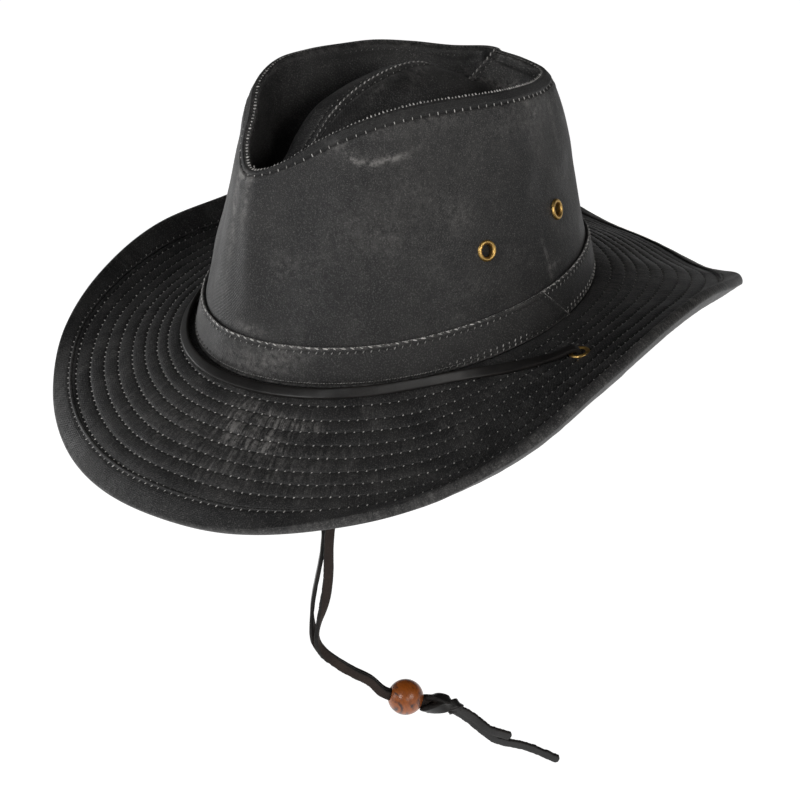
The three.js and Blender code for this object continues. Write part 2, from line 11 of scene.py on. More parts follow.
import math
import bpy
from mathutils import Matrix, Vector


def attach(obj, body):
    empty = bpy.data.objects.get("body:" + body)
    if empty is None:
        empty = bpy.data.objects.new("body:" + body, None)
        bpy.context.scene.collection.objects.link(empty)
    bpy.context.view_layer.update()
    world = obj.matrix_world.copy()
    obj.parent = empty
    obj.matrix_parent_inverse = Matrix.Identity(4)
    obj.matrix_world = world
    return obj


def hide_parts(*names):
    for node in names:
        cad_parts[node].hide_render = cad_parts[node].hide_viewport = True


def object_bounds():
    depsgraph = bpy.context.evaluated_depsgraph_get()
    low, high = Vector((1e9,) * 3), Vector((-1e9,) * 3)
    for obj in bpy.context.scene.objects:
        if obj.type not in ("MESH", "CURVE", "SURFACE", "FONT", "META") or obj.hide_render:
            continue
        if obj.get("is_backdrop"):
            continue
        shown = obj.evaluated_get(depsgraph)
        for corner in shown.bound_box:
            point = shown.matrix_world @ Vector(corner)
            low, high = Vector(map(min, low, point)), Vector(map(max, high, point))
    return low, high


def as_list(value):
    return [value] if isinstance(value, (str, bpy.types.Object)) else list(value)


bl_info = {
    "name": "Bush hat in waxed cloth",
    "version": (1, 0, 0),
    "blender": (4, 5, 0),
    "location": "View3D > Sidebar > Bush hat",
    "description": "Sews a waxed-cloth bush hat around its packed solids and finishes every surface",
    "category": "Object",
}

import bmesh
import bpy
import numpy as np
from mathutils import Euler, Vector, noise

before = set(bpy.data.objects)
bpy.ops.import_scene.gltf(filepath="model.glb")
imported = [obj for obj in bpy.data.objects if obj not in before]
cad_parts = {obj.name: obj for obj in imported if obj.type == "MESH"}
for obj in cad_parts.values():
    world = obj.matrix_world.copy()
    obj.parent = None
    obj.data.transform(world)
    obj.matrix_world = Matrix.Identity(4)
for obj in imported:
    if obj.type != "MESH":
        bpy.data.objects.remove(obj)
CAD_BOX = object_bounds()

MM = 0.001
BODY = "root"
NUDGE = 0.01  # the step that a surface's slope is measured over, as a share
HOLE_REACH = 8.0  # how far from an eyelet's middle its hole can change the cloth


def columns(names, *rows):
    """A short table as a column for each name."""
    return dict(zip(names.split(), np.array(rows, float).T))


# The crown's rim: across and along are shares of half the tip's width and length
RIM = columns(
    "angle across along height",
    (0, 0, -0.985, 0.76),
    (15, 0.288, -0.895, 0.804),
    (30, 0.51, -0.726, 0.885),
    (45, 0.743, -0.571, 0.952),
    (60, 0.896, -0.349, 0.985),
    (75, 0.94, -0.093, 0.977),
    (90, 0.957, 0.168, 0.952),
    (105, 0.945, 0.421, 0.924),
    (120, 0.826, 0.657, 0.888),
    (135, 0.642, 0.876, 0.851),
    (150, 0.433, 1.034, 0.843),
    (165, 0.175, 0.992, 0.869),
    (180, 0, 0.905, 0.895),
)
# How far the crown's side bulges round the hat, as a share of its bulge
BULGE = columns(
    "angle out", (0, 0.5), (30, 0.65), (60, 0.55), (90, 0.45), (120, 0.72), (150, 1.09), (180, 1.23)
)
# The crown's section from its foot to its rim: how much of the bulge stands at each share of the height
CROWN_SECTION = columns(
    "up out", (0, 0), (0.25, 0.35), (0.5, 0.6), (0.75, 0.92), (0.88, 1), (0.95, 0.8), (1, 0.3)
)
# The seam over the dented top, in the rim's shares, and the valley beside it as a share of its depth
SEAM = columns(
    "angle along height valley",
    (0, -0.985, 0.76, 0),
    (15, -0.88, 0.668, 0.42),
    (30, -0.717, 0.672, 0.8),
    (45, -0.542, 0.766, 0.93),
    (60, -0.4, 0.853, 1),
    (75, -0.242, 0.911, 0.96),
    (90, -0.074, 0.945, 0.9),
    (105, 0.096, 0.96, 0.83),
    (120, 0.243, 0.957, 0.75),
    (135, 0.368, 0.929, 0.64),
    (150, 0.494, 0.845, 0.48),
    (165, 0.643, 0.799, 0.25),
    (180, 0.905, 0.895, 0),
)
# The section of the dented top from the seam to the rim, as a share of the valley's depth
TIP_SECTION = columns(
    "out drop",
    (0, 0),
    (0.15, 0.02),
    (0.3, 0.1),
    (0.42, 0.33),
    (0.54, 0.72),
    (0.66, 1),
    (0.78, 0.95),
    (0.88, 0.66),
    (0.95, 0.33),
    (1, 0),
)
# The brim's edge: reach, left and right, and sag are shares of the brim's reach, its roll and its sag
BRIM = columns(
    "angle reach left right sag",
    (0, 0.931, -1.05, -1.05, 0.326),
    (15, 0.937, -1.017, -0.997, 0.339),
    (30, 0.96, -0.952, -0.805, 0.191),
    (45, 0.992, -0.725, -0.473, -0.148),
    (60, 1.001, -0.457, -0.189, -0.517),
    (75, 0.991, -0.012, 0.023, -0.772),
    (90, 0.928, 0.469, 0.086, -0.823),
    (105, 0.87, 0.661, 0.299, -0.764),
    (120, 0.87, 0.544, 0.412, -0.685),
    (135, 0.926, 0.081, 0.065, -0.439),
    (150, 0.978, -0.505, -0.555, -0.16),
    (165, 0.934, -0.985, -0.986, 0.07),
    (180, 0.925, -1.072, -1.072, 0.152),
)
# The brim's section from the crown to the edge, as a share of its sag
BRIM_SECTION = columns(
    "out drop",
    (0, 0),
    (0.2, 0.36),
    (0.4, 0.66),
    (0.6, 0.9),
    (0.75, 1),
    (0.85, 0.92),
    (0.92, 0.66),
    (0.97, 0.3),
    (1, 0),
)
# The rows of quilting, as shares of the brim's width
QUILT_ROWS = (0.12, 0.215, 0.295, 0.385, 0.475, 0.575, 0.67, 0.765, 0.86)
ROW_BEND = 0.06  # how far the rows part from even shares beside the front

# The lace over an eyelet's flange: away from the hole and above the flange, in thicknesses of the lace
LACE_OVER_FLANGE = columns("away above", (0, 0), (0.8, 0.95), (2.5, 1.1), (4.75, 0.7))
# The lace beside the band: how far out from it, in mm, and its lean as a share of the lace's tilt
LACE_LIES = columns(
    "angle out lean",
    (90, 12.6, 0.3),
    (83, 6.6, 0.7),
    (75, 2.1, 1.05),
    (65, 0.2, 1.15),
    (54, 0, 1.1),
    (46, 0, 0.9),
    (36, 0, 0.6),
    (24, 0, 0.5),
    (12, 0, 0.5),
)
# The hanging lace's routes in mm. The last value turns a strand from flat to the camera (0) to edge-on (1)
LEFT_STRAND = columns(
    "x y z turn",
    (82, 0, -16, 0),
    (54, -36, -46, 0),
    (31, -63, -76, 0),
    (27.5, -68, -89, 0),
    (26.5, -70.5, -103, 0),
    (25.5, -71.5, -118, 0),
    (24.5, -73, -129, 0.1),
    (23, -75.5, -140, 0.45),
    (21.5, -78, -149, 0.75),
    (20.5, -79.5, -157.5, 0.85),
    (21, -79, -163, 0.75),
    (22.5, -76.5, -168.5, 0.45),
    (25.5, -72, -174.5, 0.2),
    (29.5, -66, -181, 0),
    (34, -59, -187.5, 0),
)
RIGHT_STRAND = columns(
    "x y z turn",
    (-82, 0, -16, 0.5),
    (-46, -38, -44, 0.7),
    (-2, -65, -76, 1),
    (20.5, -69, -92, 1),
    (21, -71, -107.5, 1),
    (20, -73, -117, 1),
    (18.2, -75.6, -129, 1),
    (16.9, -77.4, -139, 1),
    (16.2, -78.5, -149, 0.9),
    (16.4, -78.4, -158, 0.5),
    (17.2, -77.8, -163.5, 0.2),
    (19, -75.2, -169.5, 0),
    (22.2, -70.7, -175.5, 0),
    (26.5, -64.5, -182, 0),
    (31, -57.5, -188.5, 0),
)
# The bead's and the knot's middles and the tails' routes, in mm
BEAD_PLACE = np.array((43.6, -44.6, -199.4))
KNOT_PLACE = np.array((53.2, -30.2, -206.0))
LONG_TAIL = np.array(
    [
        (56.5, -23.5, -211.3),
        (60.0, -18.1, -217.4),
        (64.9, -12.0, -226.2),
        (68.6, -6.7, -232.5),
        (77.2, 6.7, -239.4),
        (86.7, 19.1, -248.7),
    ]
)
SHORT_TAIL = np.array(
    [(58.8, -23.4, -209.0), (63.3, -17.8, -214.6), (69.4, -12.0, -222.4), (76.0, -3.1, -227.7)]
)
FACING = np.array((0.826, -0.563, 0))  # the flat side of the hanging lace looks this way
# The overhand knot's size, and its turns in mm from its middle: along the cord, up, and to the camera
KNOT_DRAWN = np.array((21, 14, 11.2))
KNOT_TURNS = columns(
    "along up near",
    (-10.4, -1.6, 0),
    (-7.4, 0.6, -1.4),
    (-3.4, 3.4, -0.6),
    (1.2, 4.4, 1.2),
    (4.6, 2.6, 0.6),
    (3.4, -0.6, -2.4),
    (-1.2, -3.4, -2.8),
    (-5.6, -4.6, -0.8),
    (-7.0, -3.2, 2.4),
    (-3.0, -0.9, 3.6),
    (2.6, 1.9, 3.5),
    (7.2, 3.6, 2.0),
    (9.2, 1.6, 0.4),
    (7.6, -1.2, -0.8),
    (5.2, -2.6, -0.6),
)

# Soft folds in the crown's side: their place, their size round and up in mm, their turn in degrees, and
# how far they stand out in mm
CROWN_FOLDS = columns(
    "angle share round up turn amount",
    (8, 0.62, 7, 30, 6, 1.6),
    (-9, 0.62, 7, 30, -6, 1.4),
    (22, 0.5, 9, 34, 4, -1.0),
    (52, 0.8, 34, 5, -6, -1.1),
    (60, 0.69, 30, 5, 8, 0.9),
    (88, 0.72, 34, 6, 4, -0.8),
    (104, 0.55, 20, 9, 30, 0.5),
    (128, 0.8, 12, 12, -20, -0.9),
    (150, 0.6, 10, 26, 0, 1.1),
    (178, 0.5, 9, 30, 0, -1.0),
    (205, 0.6, 10, 26, 0, 1.0),
    (240, 0.7, 26, 8, 12, -0.9),
    (275, 0.6, 30, 8, -8, 0.7),
    (305, 0.75, 30, 6, 6, -0.9),
    (338, 0.5, 9, 30, 0, -0.9),
)
# Where the wax is rubbed pale: the place and size as above, and how much
CROWN_WEAR = columns(
    "angle share round up turn amount",
    (3, 0.85, 2.5, 14, 0, 0.4),
    (358, 0.97, 5, 2.5, 0, 1.0),
    (355, 0.88, 1.6, 12, 6, 0.55),
    (357, 0.7, 2, 20, 0, 0.3),
    (47.5, 0.872, 4.2, 0.8, -38, 1.2),
    (52.5, 0.842, 4.5, 0.8, -4, 1.25),
    (59, 0.838, 5, 0.75, 8, 1.0),
    (66, 0.845, 4, 0.7, 16, 0.75),
    (54, 0.845, 12, 3.5, 0, 0.16),
    (40, 0.95, 7, 2.5, -20, 0.25),
    (78, 0.93, 15, 5, -6, 0.16),
    (112, 0.27, 1.2, 11, 5, 0.45),
    (115, 0.24, 5, 2, 10, 0.3),
    (72, 0.4, 5, 9, 30, 0.12),
    (77, 0.2, 5, 2, 0, 0.16),
    (84, 0.3, 14, 5, 0, 0.1),
    (117, 0.94, 2, 3, 20, 0.35),
    (122, 0.88, 4, 2, 10, 0.35),
    (134, 0.81, 2, 12, 0, 0.2),
    (12, 0.24, 10, 2.5, 0, 0.4),
    (30, 0.4, 16, 20, 0, 0.06),
    (72, 0.62, 30, 22, 0, 0.09),
    (108, 0.88, 22, 9, 0, 0.17),
    (45, 0.6, 20, 22, 0, 0.07),
    (331, 0.42, 2.5, 26, 0, 0.25),
    (215, 0.7, 12, 6, 0, 0.3),
    (300, 0.8, 16, 3, 0, 0.4),
)
BAND_WEAR = columns(
    "angle share round up turn amount",
    (25, 0.13, 16, 6, 20, 0.4),
    (10, 0.1, 20, 8, 0, 0.22),
    (338, 0.14, 12, 6, 0, 0.3),
    (230, 0.12, 14, 5, 0, 0.3),
)
BRIM_WEAR = columns(
    "angle share round up turn amount",
    (29.5, 0.29, 6, 4, 20, 1.0),
    (30, 0.4, 7, 4, 40, 0.9),
    (35, 0.27, 10, 4, 0, 0.6),
    (21, 0.2, 7, 4, 0, 0.45),
    (20, 0.31, 5, 6, 30, 0.6),
    (22, 0.42, 6, 6, 30, 0.4),
    (28, 0.47, 12, 5, 0, 0.45),
    (25, 0.33, 24, 14, 0, 0.2),
    (38, 0.6, 16, 12, 0, 0.24),
    (23, 0.66, 20, 10, 0, 0.24),
    (8, 0.5, 20, 16, 0, 0.2),
    (2, 0.88, 40, 4, 0, 0.16),
    (352, 0.45, 20, 14, 0, 0.1),
    (200, 0.5, 20, 14, 0, 0.25),
    (255, 0.6, 14, 20, 0, 0.2),
)
# On the dented top, where share is out from the seam
TIP_WEAR = columns(
    "angle share round up turn amount",
    (4, 0.75, 8, 8, 0, 0.7),
    (163, 0.6, 3, 12, 0, 0.6),
    (150, 0.85, 9, 5, 0, 0.5),
    (118, 0.12, 14, 4, 0, 0.35),
    (90, 0.15, 18, 3, 0, 0.25),
)
TIP_FOLDS = columns(
    "angle share round up turn amount",
    (163, 0.62, 2.6, 14, 0, 1.2),
    (38, 0.8, 4, 14, 0, 1.4),
    (52, 0.8, 7, 14, 0, -1.0),
    (100, 0.8, 14, 8, 0, 0.7),
)


def linear(hex_colour):
    """The linear colour of an sRGB hex value."""
    shares = [int(hex_colour[i : i + 2], 16) / 255 for i in (1, 3, 5)]
    return [s / 12.92 if s <= 0.04045 else ((s + 0.055) / 1.055) ** 2.4 for s in shares] + [1.0]


def length_property(name, description, default_mm):
    return bpy.props.FloatProperty(
        name=name,
        description=description,
        default=default_mm * MM,
        min=0.0,
        precision=4,
        subtype="DISTANCE",
        unit="LENGTH",
    )


def angle_property(name, description, default_degrees):
    return bpy.props.FloatProperty(
        name=name,
        description=description,
        default=math.radians(default_degrees),
        subtype="ANGLE",
        unit="ROTATION",
    )


def colour_property(name, description, default_hex):
    return bpy.props.FloatVectorProperty(
        name=name,
        description=description,
        default=linear(default_hex),
        size=4,
        min=0.0,
        max=1.0,
        subtype="COLOR",
    )


class HatSizes(bpy.types.PropertyGroup):
    """The hat's driving sizes."""

    head_length: length_property("Head length", "Inside the crown's foot, front to back", 203)
    head_width: length_property("Head width", "Inside the crown's foot, side to side", 163)
    crown_height: length_property("Crown height", "The height that the rim is a share of", 120)
    tip_length: length_property("Tip length", "The crown's rim, front to back", 150)
    tip_width: length_property("Tip width", "The crown's rim, side to side", 100)
    tip_dip: length_property("Tip dip", "The deepest part of the dented top's valley", 34)
    crown_bulge: length_property("Crown bulge", "How far the crown's side stands out", 5)
    cloth: length_property("Cloth", "The crown's and the band's cloth", 1.6)
    gap: length_property("Gap", "Between pieces that touch", 0.3)
    tip_seat: length_property("Tip seat", "Between the dented top and the crown's side", 0.6)
    band_seat: length_property("Band seat", "Between the band and the crown's side", 0.4)
    band_height: length_property("Band height", "The band's top seam above the brim", 19.3)
    brim_reach: length_property("Brim reach", "The brim's width in plan", 75)
    brim_roll: length_property("Brim roll", "How far the brim's edge rises or falls", 33)
    brim_sag: length_property("Brim sag", "How far the rolled sides hang", 13)
    brim_thickness: length_property("Brim thickness", "The quilted brim", 2.6)
    crown_tuck: length_property("Crown tuck", "The crown's side below the brim", 2.7)
    binding_width: length_property("Binding width", "Each leaf of the edge binding", 9.3)
    binding_cloth: length_property("Binding cloth", "The binding's own thickness", 1)
    puff: length_property("Quilting puff", "How far the quilting swells between rows", 0.55)
    welt: length_property("Rim welt", "The folded seam below the crown's rim", 5)
    lace_width: length_property("Lace width", "The chin lace's width", 5)
    lace_thickness: length_property("Lace thickness", "The chin lace's thickness", 2)
    lace_seat: length_property("Lace seat", "Under the lace where it lies on the brim", 0.5)
    bead_diameter: length_property("Bead diameter", "The wooden bead", 18.4)
    bead_bore: length_property("Bead bore", "The hole for both strands", 7.6)
    knot_length: length_property("Knot length", "The knot along the cord", 21)
    knot_width: length_property("Knot width", "The knot across the cord", 14)
    knot_depth: length_property("Knot depth", "The knot front to back", 11.2)
    eyelet_bore: length_property("Eyelet bore", "The hole through an eyelet", 6)
    eyelet_flange: length_property("Eyelet flange", "An eyelet's outer flange", 10.5)
    eyelet_back: length_property("Eyelet back", "An eyelet's inner flange", 9.4)
    eyelet_metal: length_property("Eyelet metal", "The brass sheet", 0.5)
    eyelet_seat: length_property("Eyelet seat", "Between a flange and the cloth", 0.4)
    eyelet_height: length_property("Eyelet height", "The crown's eyelets above the brim", 47.5)
    brim_eyelet_out: length_property("Brim eyelet out", "From the crown, in plan", 28.5)
    stitch_pitch: length_property("Stitch pitch", "Between the quilting's stitches", 4.1)


class HatAngles(bpy.types.PropertyGroup):
    """Places round the hat."""

    front_eyelet: angle_property("Front eyelet", "The crown's front eyelets", 89)
    back_eyelet: angle_property("Back eyelet", "The crown's back eyelets", 122)
    brim_eyelet: angle_property("Brim eyelet", "The brim's eyelets", 100)
    lace_tilt: angle_property("Lace tilt", "How the lace leans on the band", 42)
    band_joint: angle_property("Band joint", "Where the band's ends meet", 111)
    side_seam: angle_property("Side seam", "The brim's seam beside the eyelet", 103)


class HatColours(bpy.types.PropertyGroup):
    """The hat's colours."""

    cloth: colour_property("Cloth", "Waxed black cloth", "#19191a")
    worn: colour_property("Worn cloth", "Where the wax is rubbed off", "#7a7876")
    thread: colour_property("Thread", "The stitches, worn pale", "#dddbd8")
    thread_dark: colour_property("Dark thread", "Stitches that kept their dye", "#3b3a39")
    leather: colour_property("Leather", "The lace's smooth side", "#100f0f")
    flesh: colour_property("Flesh side", "The lace's rough side", "#3d342f")
    brass: colour_property("Brass", "The eyelets", "#e6bd72")
    bead: colour_property("Bead", "The bead's varnished wood", "#a45410")
    bead_figure: colour_property("Bead figure", "The wood's dark figure", "#3d1607")
    floor: colour_property("Floor", "The studio paper", "#8c8c8b")


def unit(vectors):
    """Vectors at length 1."""
    return vectors / np.maximum(np.linalg.norm(vectors, axis=-1, keepdims=True), 1e-9)


def smooth(places, values, at, level_ends=False):
    """A smooth value between a column's entries, whose ends are level or run straight on."""
    last = len(places) - 1
    here = np.arange(last + 1)
    before, after = np.maximum(here - 1, 0), np.minimum(here + 1, last)
    slopes = (values[after] - values[before]) / (places[after] - places[before])
    if level_ends:
        slopes[[0, last]] = 0
    k = np.clip(np.searchsorted(places, at) - 1, 0, last - 1)
    span = places[k + 1] - places[k]
    s = (at - places[k]) / span
    rise = 3 * s**2 - 2 * s**3
    ends = (1 - rise) * values[k] + rise * values[k + 1]
    return ends + span * ((s**3 - 2 * s**2 + s) * slopes[k] + (s**3 - s**2) * slopes[k + 1])


def round_value(table, name, angle, odd=False):
    """A table's value at an angle, mirrored to the wearer's right, where odd flips its sign."""
    turned = np.mod(angle, 360)
    mirrored = turned > 180
    value = smooth(table["angle"], table[name], np.where(mirrored, 360 - turned, turned), not odd)
    return np.where(mirrored, -value, value) if odd else value


def bump(distance, size):
    """A smooth hump of height 1 at distance 0."""
    return np.exp(-((distance / size) ** 2))


def step_up(value, low, high):
    """0 below low, 1 above high, and smooth between."""
    s = np.clip((value - low) / (high - low), 0, 1)
    return s * s * (3 - 2 * s)


def ripple(points, size, seed):
    """Smooth noise from -1 to 1 with hills about a size apart."""
    flat = np.ascontiguousarray(points.reshape(-1, 3)) / size + seed * 17.3
    values = [noise.noise(Vector(p)) for p in flat]
    return np.array(values).reshape(points.shape[:-1])


def upward(ways):
    """The same ways, with those that look down turned round."""
    return np.where(ways[..., 2:] < 0, -ways, ways)


def normal_of(surface, angle, share):
    """The way that a surface faces."""
    round_way = surface(angle + 1, share) - surface(angle - 1, share)
    across_way = surface(angle, share + NUDGE) - surface(angle, share - NUDGE)
    return unit(np.cross(round_way, across_way))


def patches(points, surface, rows):
    """The sum of soft oval patches on a surface, each at its own place, size and turn."""
    total = np.zeros(points.shape[:-1])
    for angle, share, wide, high, turn, amount in zip(*rows.values()):
        a, s = np.array(angle), np.array(share)
        centre = surface(a, s)
        up_way = unit(surface(a, s + NUDGE) - surface(a, s - NUDGE))
        out_way = normal_of(surface, a, s)
        round_way = np.cross(up_way, out_way)
        away = points - centre
        x, y, z = away @ round_way, away @ up_way, away @ out_way
        c, d = math.cos(math.radians(turn)), math.sin(math.radians(turn))
        total += amount * bump(c * x + d * y, wide) * bump(c * y - d * x, high) * bump(z, 15)
    return total


class HatShape:
    """The hat's surfaces, in millimetres."""

    def __init__(self, scene):
        for name in HatSizes.__annotations__:
            setattr(self, name, getattr(scene.hat_sizes, name) / MM)
        for name in HatAngles.__annotations__:
            setattr(self, name + "_angle", math.degrees(getattr(scene.hat_angles, name)))

    def head_ellipse(self, angle, margin):
        """The head opening at its foot, larger by a margin."""
        t = np.radians(angle)
        across = (self.head_width / 2 + margin) * np.sin(t)
        along = -(self.head_length / 2 + margin) * np.cos(t)
        return np.stack(np.broadcast_arrays(across, along, 0.0), -1)

    def crown_top(self, angle):
        """The rim's height."""
        return self.crown_height * round_value(RIM, "height", angle)

    def crown_face(self, angle, share):
        """The crown's outer face, from its foot to its rim."""
        angle, share = np.broadcast_arrays(angle, share)
        foot = self.head_ellipse(angle, self.cloth)
        across = round_value(RIM, "across", angle, odd=True) * self.tip_width / 2
        along = round_value(RIM, "along", angle) * self.tip_length / 2
        rim = np.stack(np.broadcast_arrays(across, along, 0.0), -1)
        up = np.maximum(share, 0)
        out = self.crown_bulge * round_value(BULGE, "out", angle)
        out = out * smooth(CROWN_SECTION["up"], CROWN_SECTION["out"], up)
        points = foot + (rim - foot) * up[..., None] + unit(foot) * out[..., None]
        points[..., 2] = self.crown_top(angle) * share
        return points

    def welt_share(self, angle):
        """The rim's welt narrows at the front pinch."""
        return 0.45 + 0.55 * step_up(1 - np.cos(np.radians(angle)), 0.0, 0.13)

    def crown_normal(self, angle, share):
        return normal_of(self.crown_face, angle, np.maximum(share, NUDGE))

    def crown_at(self, angle, share, offset):
        """A place that stands off the crown's outer face."""
        way = self.crown_normal(angle, share)
        return self.crown_face(angle, share) + way * np.asarray(offset)[..., None]

    def crown_share(self, angle, height):
        """The share up the crown at a height above its foot."""
        return height / self.crown_top(angle)

    def brim_width(self, angle):
        return self.brim_reach * round_value(BRIM, "reach", angle)

    def brim_face(self, angle, share):
        """The brim's middle face, from the crown to the edge."""
        angle, share = np.broadcast_arrays(angle, share)
        start = self.cloth + self.gap
        reach = self.brim_width(angle)
        points = self.head_ellipse(angle, start)
        points = points + (self.head_ellipse(angle, start + reach) - points) * share[..., None]
        left, right = round_value(BRIM, "left", angle), round_value(BRIM, "right", angle)
        roll = np.where(np.mod(angle, 360) > 180, right, left)
        drop = smooth(BRIM_SECTION["out"], BRIM_SECTION["drop"], share)
        sag = self.brim_sag * round_value(BRIM, "sag", angle) * drop
        points[..., 2] = self.brim_roll * roll * share + sag
        return points

    def brim_normal(self, angle, share):
        return -normal_of(self.brim_face, angle, share)

    def brim_at(self, angle, share, offset):
        """A place that stands off the brim's middle face."""
        way = self.brim_normal(angle, share)
        return self.brim_face(angle, share) + way * np.asarray(offset)[..., None]

    def brim_share(self, angle, distance):
        """The share across the brim at a distance from the crown, in plan."""
        return distance / self.brim_width(angle)

    def tip_rim(self, angle):
        """Where the dented top meets the crown's side, seen from inside."""
        inward = self.crown_normal(angle, 1.0) * (-1, -1, 0)
        return self.crown_at(angle, 1.0, -self.cloth) + unit(inward) * self.tip_seat

    def tip_face(self, angle, out):
        """The dented top's upper face on the wearer's left, from the seam to the rim."""
        angle, out = np.broadcast_arrays(angle, out)
        rim = self.tip_rim(angle)
        rim[..., 0] = np.maximum(rim[..., 0], 0)
        end = np.where(angle < 90, 0.0, 180.0)
        seated = self.crown_at(end, 1.0, -self.cloth)[..., 1]
        seated = seated + self.tip_seat * np.cos(np.radians(end))
        shift = seated - round_value(RIM, "along", end) * self.tip_length / 2
        along = round_value(SEAM, "along", angle) * self.tip_length / 2
        along = along + shift * np.cos(np.radians(angle)) ** 2
        height = self.crown_height * round_value(SEAM, "height", angle)
        seam = np.stack(np.broadcast_arrays(0.0, along, height), -1)
        points = seam + (rim - seam) * out[..., None]
        drop = smooth(TIP_SECTION["out"], TIP_SECTION["drop"], out)
        points[..., 2] -= self.tip_dip * round_value(SEAM, "valley", angle) * drop
        return points

    def crown_eyelets(self):
        """The name, place, axis and sheet of each eyelet in the crown's side."""
        places = (
            ("eyelet_left_front", self.front_eyelet_angle),
            ("eyelet_left_back", self.back_eyelet_angle),
            ("eyelet_right_front", 360 - self.front_eyelet_angle),
            ("eyelet_right_back", 360 - self.back_eyelet_angle),
        )
        for name, angle in places:
            share = self.crown_share(angle, self.eyelet_height)
            place = self.crown_at(angle, share, -self.cloth / 2)
            yield name, place, self.crown_normal(angle, share), self.cloth

    def brim_eyelets(self):
        """The name, place, axis and sheet of each eyelet in the brim."""
        places = (
            ("brim_eyelet_left", self.brim_eyelet_angle),
            ("brim_eyelet_right", 360 - self.brim_eyelet_angle),
        )
        for name, angle in places:
            share = self.brim_share(angle, self.brim_eyelet_out)
            yield name, self.brim_face(angle, share), self.brim_normal(angle, share), self.brim_thickness

    def flange_top(self, sheet):
        """How far a flange's top is from the middle of its sheet."""
        return sheet / 2 + self.eyelet_seat + self.eyelet_metal


def stations(count, start=0.0, end=360.0, closed=True):
    """Angles round the hat, as a column."""
    return np.linspace(start, end, count, endpoint=not closed)[:, None]


def arc_lengths(points):
    """How far each point is along the line that the points make."""
    steps = np.linalg.norm(np.diff(points, axis=0), axis=-1)
    return np.concatenate([[0], np.cumsum(steps)])


def link(piece):
    """Puts a piece in the scene."""
    bpy.context.scene.collection.objects.link(piece)
    return piece


def cloth_places(points, a, b):
    """How far round and across the cloth the four corners of each face are, in millimetres."""
    rows, cols = points.shape[:2]
    round_at = arc_lengths(points[:, cols // 2])
    round_at = np.append(round_at, round_at[-1] + (round_at[1] - round_at[0]))
    across_at = np.zeros((rows + 1, cols + 1))
    across_at[:rows, 1:cols] = np.cumsum(np.linalg.norm(np.diff(points, axis=1), axis=-1), axis=1)
    across_at[:rows, cols] = across_at[:rows, cols - 1] * 2 - across_at[:rows, cols - 2]
    across_at[rows] = across_at[0]
    corners = [(a, b), (a + 1, b), (a + 1, b + 1), (a, b + 1)]
    uv = np.stack([np.stack([round_at[p], across_at[p % rows, q]], -1) for p, q in corners], 2)
    return uv.reshape(-1, 4, 2)


def grid_piece(name, points, materials, closed=True, layers=None, picks=None, caps=False):
    """A smooth mesh on a grid of points, looped the second way, and the first way too if it is closed.

    layers are named values at the points, and picks the material of each face along the second way.
    The faces are turned to look outwards, and caps close a strip's two ends.
    """
    rows, cols = points.shape[:2]
    index = np.arange(rows * cols).reshape(rows, cols)
    i, j = np.arange(rows if closed else rows - 1), np.arange(cols)
    a, b = np.meshgrid(i, j, indexing="ij")
    c, d = (a + 1) % rows, (b + 1) % cols
    quads = np.stack([index[a, b], index[c, b], index[c, d], index[a, d]], -1).reshape(-1, 4)
    flat = points.reshape(-1, 3)
    corner = flat[quads]
    volume = np.einsum(
        "ij,ij->", corner[:, 0], np.cross(corner[:, 1] - corner[:, 3], corner[:, 2] - corner[:, 0])
    )
    flip = volume > 0
    if flip:
        quads = quads[:, ::-1]
    faces = quads.tolist()
    if caps:
        first, last = index[0].tolist(), index[-1].tolist()
        faces += [last, first[::-1]] if flip else [last[::-1], first]
    mesh = bpy.data.meshes.new(name)
    mesh.from_pydata((flat * MM).tolist(), [], faces)
    uv = cloth_places(points, a, b)
    if flip:
        uv = uv[:, ::-1]
    layer = mesh.uv_layers.new(name="cloth")
    values = np.zeros((len(mesh.loops), 2))
    values[: len(quads) * 4] = uv.reshape(-1, 2)
    layer.data.foreach_set("uv", values.ravel())
    for label, value in (layers or {}).items():
        attribute = mesh.attributes.new(label, "FLOAT", "POINT")
        attribute.data.foreach_set("value", np.broadcast_to(value, (rows, cols)).ravel())
    for material in materials:
        mesh.materials.append(material)
    if picks is not None:
        chosen = np.zeros(len(mesh.polygons), int)
        chosen[: len(quads)] = np.broadcast_to(np.asarray(picks)[None, : len(j)], (len(i), len(j))).ravel()
        chosen[len(quads) :] = len(materials) - 1
        mesh.polygons.foreach_set("material_index", chosen)
    mesh.shade_smooth()
    return link(bpy.data.objects.new(name, mesh))


def pierce(piece, eyelets, radius, cloth):
    """Opens a round hole in the outer cloth at each eyelet, and paints black shade onto the inner cloth
    behind it.

    The inner cloth stays, because the photo shows black in the holes. Corners of the mesh near the
    middle go, and those near the hole's edge move onto it.
    """
    mesh = bmesh.new()
    mesh.from_mesh(piece.data)
    groove = mesh.verts.layers.float["groove"]
    cut = set()
    for _, place, axis, _ in eyelets:
        centre, line = Vector(place * MM), Vector(axis)
        for vertex in mesh.verts:
            away = vertex.co - centre
            if away.length > HOLE_REACH * MM:
                continue
            depth = away.dot(line)
            away -= line * depth
            # Painted shade: the inner cloth behind the hole is set to black in the groove values
            if depth < -0.3 * cloth * MM:
                vertex[groove] = 1.0
            elif away.length < 0.6 * radius * MM:
                cut.add(vertex)
            elif away.length < 1.25 * radius * MM:
                vertex.co += away.normalized() * (radius * MM - away.length)
    bmesh.ops.delete(mesh, geom=list(cut), context="VERTS")
    mesh.to_mesh(piece.data)
    mesh.free()


def wear_on(piece, slot, *nodes):
    """Hangs a piece on the body that it rides on, and hides the solids that it stands for. The slot, what it
    is made of, is not used.
    """
    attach(piece, BODY)
    if nodes:
        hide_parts(*nodes)
    return piece


def pick(sockets, key):
    """A socket by its number, or by its name among those in use."""
    if isinstance(key, int):
        return sockets[key]
    return next(s for s in sockets if s.name == key and s.enabled)


